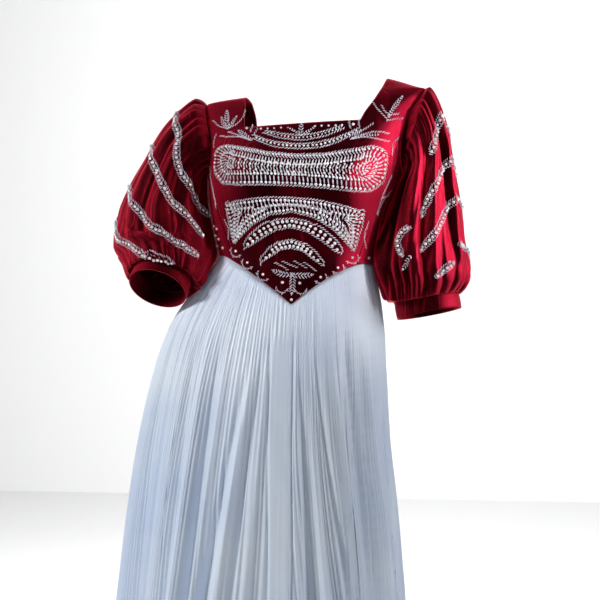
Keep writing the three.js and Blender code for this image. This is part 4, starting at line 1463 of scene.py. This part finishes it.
# The lines of stitches and pearls along the spines of the bust and fan bands.
BUST_LINE = {"half": 112, "step": 4.9, "stitch": 1.7, "pearl": 3.6, "past": 1.12}
BUST_LEANS = ((2.8, 6.2), (2.8, -6.4))
FAN_LINE = {"half": 60, "step": 6.6, "stitch": 1.4, "pearl": 4.2}


def spine_line(line, spine):
    x = np.arange(-line["half"], line["half"] + 1, line["step"])
    return np.stack([x, spine(x)], 1)


def bust_embroidery(work):
    def spine(x):
        return -136 + 0.0004 * x * x

    sew_rings(work, BUST_BAND, 100, spine, BUST_RINGS)
    line = spine_line(BUST_LINE, spine)
    for lean in np.array(BUST_LEANS):
        work.stitches(bodice_ground, line, line + lean, BUST_LINE["stitch"])
        past = (line + lean * BUST_LINE["past"])[::2]
        work.pearls(bodice_ground, past, BUST_LINE["pearl"])
    work.pearls(bodice_ground, line[::2] + (1.5, 0.8), BUST_LINE["pearl"])


def fan_embroidery(work):
    def spine(x):
        return -193.5 - 0.0027 * x * x

    sew_rings(work, FAN_BAND, 82, spine, FAN_RINGS)
    line = spine_line(FAN_LINE, spine)
    work.pearls(bodice_ground, line, FAN_LINE["pearl"])
    work.stitches(bodice_ground, line + (2, -3), line + (5, 3), FAN_LINE["stitch"])


# Rows of pearls along a band: how many, how far out the row goes, and its share of the way down.
ARCH_ROWS = ((19, 67, 0.31), (20, 70.5, 0.7))
CREST_ROWS = ((11, 31, 0.33), (14, 41, 0.71))


def sew_rows(work, band, rows, size):
    """A band's edging and the rows of pearls that follow it."""
    edging(work, band)
    for count, reach, share in rows:
        x = np.linspace(-reach, reach, count)
        top = np.interp(np.abs(x), band["out"], band["top"])
        bottom = np.interp(np.abs(x), band["out"], band["bottom"])
        work.pearls(bodice_ground, np.stack([x, lerp(top, bottom, share)], 1), size)


# Loose embroidery of the bodice as knots across and up, charted.
SWAGS = (
    ([(-74, -80), (-50, -90), (-22, -96), (12, -97), (45, -92), (74, -82), (93, -73)],
     [(-74, -87), (-37, -102), (5, -105), (43, -101), (71, -90), (95, -77)], 6.6, 3.8),
    ([(-55, -73), (-25, -80), (4, -83), (32, -79), (66, -70)],
     [(-58, -77), (-40, -84), (-24, -88), (7, -91), (40, -85), (69, -74)], 5.6, 2.8),
)
ROPES = (
    [(-80, -60), (-81, -72)],
    [(-70, -68), (-73, -77)],
    [(76, -64), (79, -73)],
    [(90, -60), (92, -70)],
    [(-76, -90), (-100, -82), (-121, -80), (-133, -76)],
    [(-76, -90), (-98, -80), (-119, -69)],
    [(83, -89), (104, -81), (124, -78), (138, -80)],
    [(83, -89), (106, -86), (139, -90)],
    [(88, -84), (100, -76), (113, -68)],
    [(-122, -60), (-138, -54), (-155, -42)],
    [(-122, -60), (-108, -53), (-102, -44), (-103, -31)],
    [(135, -63), (120, -50), (106, -36)],
    [(136, -57), (128, -50), (121, -41)],
    [(135, -64), (146, -62), (157, -61)],
    [(140, -56), (150, -55)],
    [(-142, -72), (-144, -84), (-144, -97)],
    [(-150, -134), (-143, -160), (-133, -190), (-130, -202)],
    [(-147, -150), (-138, -172), (-131, -196)],
    [(-113, -222), (-107, -236), (-107, -251)],
    [(154, -84), (147, -92), (146, -106)],
    [(147, -137), (137, -166), (129, -196)],
    [(149, -156), (136, -178), (130, -198)],
    [(135, -172), (145, -166)],
    [(117, -212), (111, -232), (113, -252)],
    [(-26, -286), (-16, -290), (-7, -295)],
    [(-13, -283), (-3, -287), (8, -291)],
    [(5, -282), (14, -286), (22, -291)],
    [(21, -283), (30, -289), (38, -295)],
)
FRONDS = (
    ([(-122, -60), (-130, -42), (-135, -30)], 5.4),
    ([(-122, -60), (-133, -50), (-140, -40)], 3.6),
    ([(-121, -60), (-117, -50), (-114, -42)], 3.6),
    ([(136, -60), (141, -44), (147, -27)], 3.8),
    ([(-78, -89), (-90, -79), (-100, -70)], 5.0),
    ([(84, -88), (104, -84), (122, -82)], 2.6),
    ([(3, -84), (2, -76), (1, -66)], 4.6),
    ([(4, -83), (-8, -76), (-19, -70)], 2.4),
    ([(4, -83), (14, -77), (23, -70)], 2.4),
    ([(1, -303), (-14, -303), (-27, -299)], 5.6),
    ([(1, -303), (16, -304), (30, -302)], 5.6),
    ([(2, -300), (2, -318), (1, -331)], 5.8),
)
NECK_DOTS = (-64, -53, -42, -31, 23, 34, 45, 56, 66)
POINT_DOTS = ((93, -270), (72, -288), (45.5, -305), (14, -316))
LONE_DOTS = ((1, -343), (116, -268), (-117, -266), (-136, -231), (-129, -236), (-133, -246),
             (-126, -252), (-131, -262), (83, -69), (-88, -66))


# The ropes of the sprigs and of the loose lines.
SPRIG_ROPE = {"step": 4.2, "length": 5.4, "width": 1.5}
LINE_ROPE = {"step": 4.4, "length": 5.8, "width": 1.5}
SPRIG = {"radius": 9.5, "slant": 30, "leaf": 4.6, "leaf turn": 50, "leaf width": 1.3}
DOT = {"level": -69.5, "neck": 3.4, "lone": 4.6}


def crescent(work, side, centre, low, high):
    """A sprig bent round a dot: an arc of stitches with small leaves on its outer side."""
    turn = np.radians(np.linspace(low, high, 6))
    around = np.stack([side * np.cos(turn), np.sin(turn)], 1)
    knots = np.asarray(centre) + around * SPRIG["radius"]
    rope(work, bodice_ground, knots, **SPRIG_ROPE, slant=side * SPRIG["slant"])
    leaf = turned(around[::2], side * SPRIG["leaf turn"]) * SPRIG["leaf"]
    work.stitches(bodice_ground, knots[::2], knots[::2] + leaf, SPRIG["leaf width"])


def loose_embroidery(work):
    ground = bodice_ground
    for upper, lower, step, size in SWAGS:
        rope(work, ground, upper)
        rope(work, ground, lower)
        top, bottom = spaced(ground, route(upper), step), spaced(ground, route(lower), step)
        count = min(len(top), len(bottom))
        pick = np.linspace(0, 1, count)
        resampled = [
            np.stack([np.interp(pick, np.linspace(0, 1, len(row)), row[:, k]) for k in (0, 1)], 1)
            for row in (top, bottom)
        ]
        work.pearls(ground, ((resampled[0] + resampled[1]) / 2)[1:-1], size)
    for knots in ROPES:
        rope(work, ground, knots, **LINE_ROPE)
    for knots, reach in FRONDS:
        frond(work, ground, knots, reach)
    work.pearls(ground, np.array([(x, DOT["level"]) for x in NECK_DOTS]), DOT["neck"])
    work.pearls(ground, np.array(LONE_DOTS), DOT["lone"])
    for side in (-1, 1):
        places = np.array(POINT_DOTS) * (side, 1)
        work.pearls(ground, places, DOT["lone"])
        for place in places[:3]:
            crescent(work, side, place, -135, 25)
        crescent(work, side, (side * 15, -323), -160, -15)


# Bands of pearls round the sleeves, as degrees round the sleeve and rings along it.
SLEEVE_BANDS = {
    -1: (
        [(-20, 1.7), (19, 1.8), (63, 1.95), (80, 2.3), (102, 3.1), (124, 3.7), (143, 4.5),
         (166, 5.1)],
        [(5, 2.9), (35, 3.05), (65, 3.45), (87, 3.9), (107, 4.55), (121, 4.95), (135, 5.6),
         (147, 6.4)],
        [(0, 4.1), (31, 4.35), (65, 4.95), (87, 5.9), (104, 7.1), (123, 7.7), (146, 7.8)],
        [(5, 5.2), (26, 5.9), (40, 7.5), (54, 8.4), (77, 9.0), (112, 9.1)],
    ),
    1: (
        [(-25, 2.9), (3, 2.4), (18, 2.0), (36, 2.05), (57, 2.4), (75, 2.95)],
        [(-20, 4.1), (4, 3.6), (24, 3.35), (50, 3.7), (74, 4.5), (88, 5.3)],
        [(-20, 5.3), (1, 4.8), (20, 4.55), (37, 4.75), (55, 5.2), (70, 5.85), (88, 6.55)],
        [(-20, 6.9), (10, 6.4), (38, 6.2)],
        [(47, 7.05), (60, 7.35), (74, 7.8)],
        [(99, 5.65), (110, 5.8), (116, 6.2), (108, 6.75)],
    ),
}
SLEEVE_FRONDS = {-1: (), 1: (([(98, 6.75), (103, 6.95), (109, 7.25)], 5.0),)}


# A sleeve band: pearls in the middle, a rope on either side and cross stitches between.
BAND_PEARL = {"size": 5.2, "step": 7.6, "start": 4.0}
BAND_EDGE = {"step": 4.0, "apart": 5.3, "least": 0.2, "taper": 2.5, "slant": 40}
BAND_ROPE = {"step": 3.9, "length": 5.0, "width": 1.4}
BAND_CROSS = {"reach": 4.6, "width": 1.1}


def sleeve_embroidery(work, side):
    ground = sleeve_ground(side)
    for knots in SLEEVE_BANDS[side]:
        curve = route(knots)
        middle = spaced(ground, curve, BAND_PEARL["step"], start=BAND_PEARL["start"])
        work.pearls(ground, middle, BAND_PEARL["size"])
        dense = spaced(ground, curve, BAND_EDGE["step"])
        _, left = headings(ground, dense)
        from_end = np.minimum(np.arange(len(dense)), np.arange(len(dense))[::-1])
        full = np.minimum(1, BAND_EDGE["least"] + from_end / BAND_EDGE["taper"])
        for sign in (-1, 1):
            rail = moved(ground, dense, left, sign * BAND_EDGE["apart"] * full)
            rope(work, ground, rail, **BAND_ROPE, slant=-sign * BAND_EDGE["slant"])
        between = (middle[:-1] + middle[1:]) / 2
        _, left = headings(ground, between)
        for sign in (-1, 1):
            ends = moved(ground, between, left, sign * BAND_CROSS["reach"])
            work.stitches(ground, between, ends, BAND_CROSS["width"])
    for knots, reach in SLEEVE_FRONDS[side]:
        frond(work, ground, knots, reach)


# Each piece of embroidery, the solid that it replaces and how it is sewn.
EMBROIDERY = (
    ("beads_bust", "band_bust", bust_embroidery),
    ("beads_fan", "band_fan", fan_embroidery),
    ("beads_arch", "band_arch", lambda work: sew_rows(work, ARCH_BAND, ARCH_ROWS, 5.3)),
    ("beads_crest", "band_crest", lambda work: sew_rows(work, CREST_BAND, CREST_ROWS, 4.9)),
    ("beads_loose", None, loose_embroidery),
    ("beads_sleeve_left", None, lambda work: sleeve_embroidery(work, 1)),
    ("beads_sleeve_right", None, lambda work: sleeve_embroidery(work, -1)),
)


# ---- Stage ----------------------------------------------------------------------------------
CAMERA = {"azimuth": 8, "height": -343.2, "distance": 2300, "view": 990, "sensor": 36}
PALE = {"colour": (0.9, 0.9, 0.9), "roughness": 0.85}
STAGE = {"size": 16, "behind": 5.2, "up": 2}  # metres
FLOOR_DROP = 8
SKY = {"Color": (0.95, 0.97, 1.0, 1), "Strength": 0.2}


def stage_plane(name, size, place, tilt, material):
    bpy.ops.mesh.primitive_plane_add(size=size, location=place, rotation=(tilt, 0, 0))
    plane = bpy.context.object
    plane.name = name
    plane.data.materials.append(material)


LIGHTS = (
    # name, place, where it points, size, spread in degrees, power, colour
    ("key light", (-2.5, -1.5, 1.1), (0, 0, -0.5), 0.6, 180, 58, (1.0, 0.98, 0.97)),
    ("left light", (-2.4, 0.1, 0.1), (0, 0, -0.6), 0.6, 180, 5, (0.9, 0.95, 1.0)),
    ("right light", (1.8, -1.1, 0.2), (0.14, -0.1, -0.13), 0.3, 14, 0.4, (1.0, 0.95, 0.98)),
    ("side light", (2.4, -0.2, 0.3), (0, 0, -0.5), 0.6, 180, 20, (0.95, 0.95, 1.0)),
    ("back light", (-0.6, 2.2, 1.4), (0, 0, -0.3), 1.2, 180, 8, (0.95, 0.97, 1.0)),
    ("backdrop light", (0, 1.2, 1.4), (0, 5.2, -0.6), 3.0, 180, 170, (1.0, 1.0, 1.0)),
)


def make_stage():
    pale = plain_material("pale floor", PALE["colour"], PALE["roughness"])
    stage_plane("floor", STAGE["size"], (0, 0, (HEM_LEVEL - FLOOR_DROP) * MM), 0, pale)
    wall = (0, STAGE["behind"], STAGE["up"])
    stage_plane("backdrop", STAGE["size"], wall, math.pi / 2, pale)
    world = bpy.data.worlds.new("studio")
    world.use_nodes = True
    set_shader(world.node_tree.nodes["Background"], SKY)
    bpy.context.scene.world = world
    bpy.context.scene.view_settings.view_transform = "Standard"
    for name, place, aim, size, spread, power, colour in LIGHTS:
        data = bpy.data.lights.new(name, "AREA")
        data.size, data.energy, data.color = size, power, colour
        data.spread = math.radians(spread)
        lamp = bpy.data.objects.new(name, data)
        lamp.location = place
        way = Vector(aim) - Vector(place)
        lamp.rotation_euler = way.to_track_quat("-Z", "Y").to_euler()
        bpy.context.scene.collection.objects.link(lamp)


def make_camera():
    data = bpy.data.cameras.new("camera")
    data.sensor_width = CAMERA["sensor"]
    data.lens = CAMERA["sensor"] * CAMERA["distance"] / CAMERA["view"]
    camera = bpy.data.objects.new("camera", data)
    turn = math.radians(CAMERA["azimuth"])
    back = Vector((math.sin(turn), -math.cos(turn), 0))
    camera.location = (back * CAMERA["distance"] + Vector((0, 0, CAMERA["height"]))) * MM
    camera.rotation_euler = (-back).to_track_quat("-Z", "Y").to_euler()
    bpy.context.scene.collection.objects.link(camera)
    bpy.context.scene.camera = camera


# ---- The add-on -----------------------------------------------------------------------------
COLOUR = {"subtype": "COLOR", "min": 0, "max": 1}


class GownLook(bpy.types.PropertyGroup):
    """Sizes and colours that a user would change."""

    velvet_thickness: FloatProperty(
        name="Velvet Thickness",
        description="Thickness of the velvet",
        default=1.6 * MM,
        unit="LENGTH",
        precision=4,
    )
    skirt_thickness: FloatProperty(
        name="Skirt Thickness",
        description="Thickness of the pleated cloth",
        default=0.8 * MM,
        unit="LENGTH",
        precision=4,
    )
    pleat_depth: FloatProperty(
        name="Pleat Depth", description="Depth of the pleats against the plain ones", default=1.0
    )
    gore_pleats: IntProperty(
        name="Gore Pleats", description="Pleats of each skirt gore", default=32, min=4
    )
    gore_columns: IntProperty(
        name="Gore Columns", description="Columns of faces across a gore", default=176, min=8
    )
    crease_count: IntProperty(
        name="Crease Count", description="Middling creases round the skirt", default=76, min=0
    )
    skirt_rows: IntProperty(
        name="Skirt Rows", description="Rows of faces down the skirt", default=60, min=8
    )
    sleeve_columns: IntProperty(
        name="Sleeve Columns", description="Faces round a sleeve", default=240, min=24
    )
    sleeve_rows: IntProperty(
        name="Sleeve Rows", description="Faces along a sleeve", default=110, min=10
    )
    velvet_deep: FloatVectorProperty(
        name="Velvet Deep",
        description="Colour of the velvet where its pile lies away",
        **COLOUR,
        default=(0.013, 0.0004, 0.0012),
    )
    # The painted crease highlights and the right sleeve's weak painted highlight also turn toward
    # this colour.
    velvet_bright: FloatVectorProperty(
        name="Velvet Bright",
        description="Colour of the velvet where its pile stands up",
        **COLOUR,
        default=(0.12, 0.002, 0.007),
    )
    # Painted highlight colour: the velvet turns to it where it faces one fixed direction, standing
    # in for light from that side.
    velvet_painted_highlight: FloatVectorProperty(
        name="Velvet Painted Highlight",
        description="Colour of the velvet where it faces the way its pile is swept",
        **COLOUR,
        default=(0.72, 0.018, 0.06),
    )
    # Painted sheen: the velvet turns to this colour where it turns away from the view.
    velvet_painted_sheen: FloatVectorProperty(
        name="Velvet Painted Sheen",
        description="Colour of the velvet where it turns away",
        **COLOUR,
        default=(0.6, 0.012, 0.045),
    )
    # Both skirt colours hold a painted cool blue cast standing in for blue light; the cloth itself
    # is white.
    skirt_light: FloatVectorProperty(
        name="Skirt Light",
        description="Main colour of the pleated cloth",
        **COLOUR,
        default=(0.77, 0.86, 0.97),
    )
    skirt_shade: FloatVectorProperty(
        name="Skirt Shade",
        description="Cooler colour of the pleated cloth",
        **COLOUR,
        default=(0.62, 0.73, 0.91),
    )


class GOWN_OT_bodice(bpy.types.Operator):
    """Make the velvet bodice panels"""

    bl_idname = "gown.bodice"
    bl_label = "Bodice"

    def execute(self, context):
        look = context.scene.gown_look
        front = velvet_panel("velvet_front", bodice_front_places(), look)
        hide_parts("bodice_front")
        for word, side in SIDES.items():
            panel = velvet_panel(f"velvet_side_{word}", side_front_places(side), look)
            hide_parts(f"side_front_{word}")
            panel = velvet_panel(f"velvet_back_{word}", bodice_back_places(side), look)
            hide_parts(f"bodice_back_{word}")
        return {"FINISHED"}


class GOWN_OT_sleeves(bpy.types.Operator):
    """Make the gathered sleeves and their cuffs"""

    bl_idname = "gown.sleeves"
    bl_label = "Sleeves"

    def execute(self, context):
        look = context.scene.gown_look
        for word, side in SIDES.items():
            sleeve_piece(side, word, look)
            cuff_piece(side, word, look)
        return {"FINISHED"}


class GOWN_OT_skirt(bpy.types.Operator):
    """Make the pleated skirt"""

    bl_idname = "gown.skirt"
    bl_label = "Skirt"

    def execute(self, context):
        look = context.scene.gown_look
        field = pleat_field(look)
        for k, word in enumerate(GORES):
            skirt_piece(word, 360 / len(GORES) * k, field, look)
        return {"FINISHED"}


class GOWN_OT_embroidery(bpy.types.Operator):
    """Make the bead embroidery"""

    bl_idname = "gown.embroidery"
    bl_label = "Embroidery"

    def execute(self, context):
        look = context.scene.gown_look
        for name, replaced, sew in EMBROIDERY:
            work = Beadwork()
            sew(work)
            piece = work.object(name, look)
            if replaced:
                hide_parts(replaced)
        return {"FINISHED"}


class GOWN_OT_cut(bpy.types.Operator):
    """An empty step: it states no flat sizes of the cloth pieces"""

    bl_idname = "gown.cut"
    bl_label = "Cut Sizes"

    def execute(self, context):
        return {"FINISHED"}


class GOWN_OT_stage(bpy.types.Operator):
    """Make the floor, the lights and the camera"""

    bl_idname = "gown.stage"
    bl_label = "Stage"

    def execute(self, context):
        make_stage()
        make_camera()
        return {"FINISHED"}


OPERATORS = (
    GOWN_OT_bodice,
    GOWN_OT_sleeves,
    GOWN_OT_skirt,
    GOWN_OT_embroidery,
    GOWN_OT_cut,
    GOWN_OT_stage,
)


class GOWN_PT_panel(bpy.types.Panel):
    """Lists the gown's pieces and settings"""

    bl_label = "Embroidered Gown"
    bl_idname = "GOWN_PT_panel"
    bl_space_type = "VIEW_3D"
    bl_region_type = "UI"
    bl_category = "Gown"

    def draw(self, context):
        look = context.scene.gown_look
        for name in GownLook.__annotations__:
            self.layout.prop(look, name)
        for operator in OPERATORS:
            self.layout.operator(operator.bl_idname)


CLASSES = (GownLook, *OPERATORS, GOWN_PT_panel)


def register():
    for kind in CLASSES:
        bpy.utils.register_class(kind)
    bpy.types.Scene.gown_look = PointerProperty(type=GownLook)


def unregister():
    del bpy.types.Scene.gown_look
    for kind in reversed(CLASSES):
        bpy.utils.unregister_class(kind)


def main():
    register()
    bpy.ops.gown.bodice()
    bpy.ops.gown.sleeves()
    bpy.ops.gown.skirt()
    bpy.ops.gown.embroidery()
    bpy.ops.gown.cut()
    bpy.ops.gown.stage()


if __name__ == "__main__":
    main()
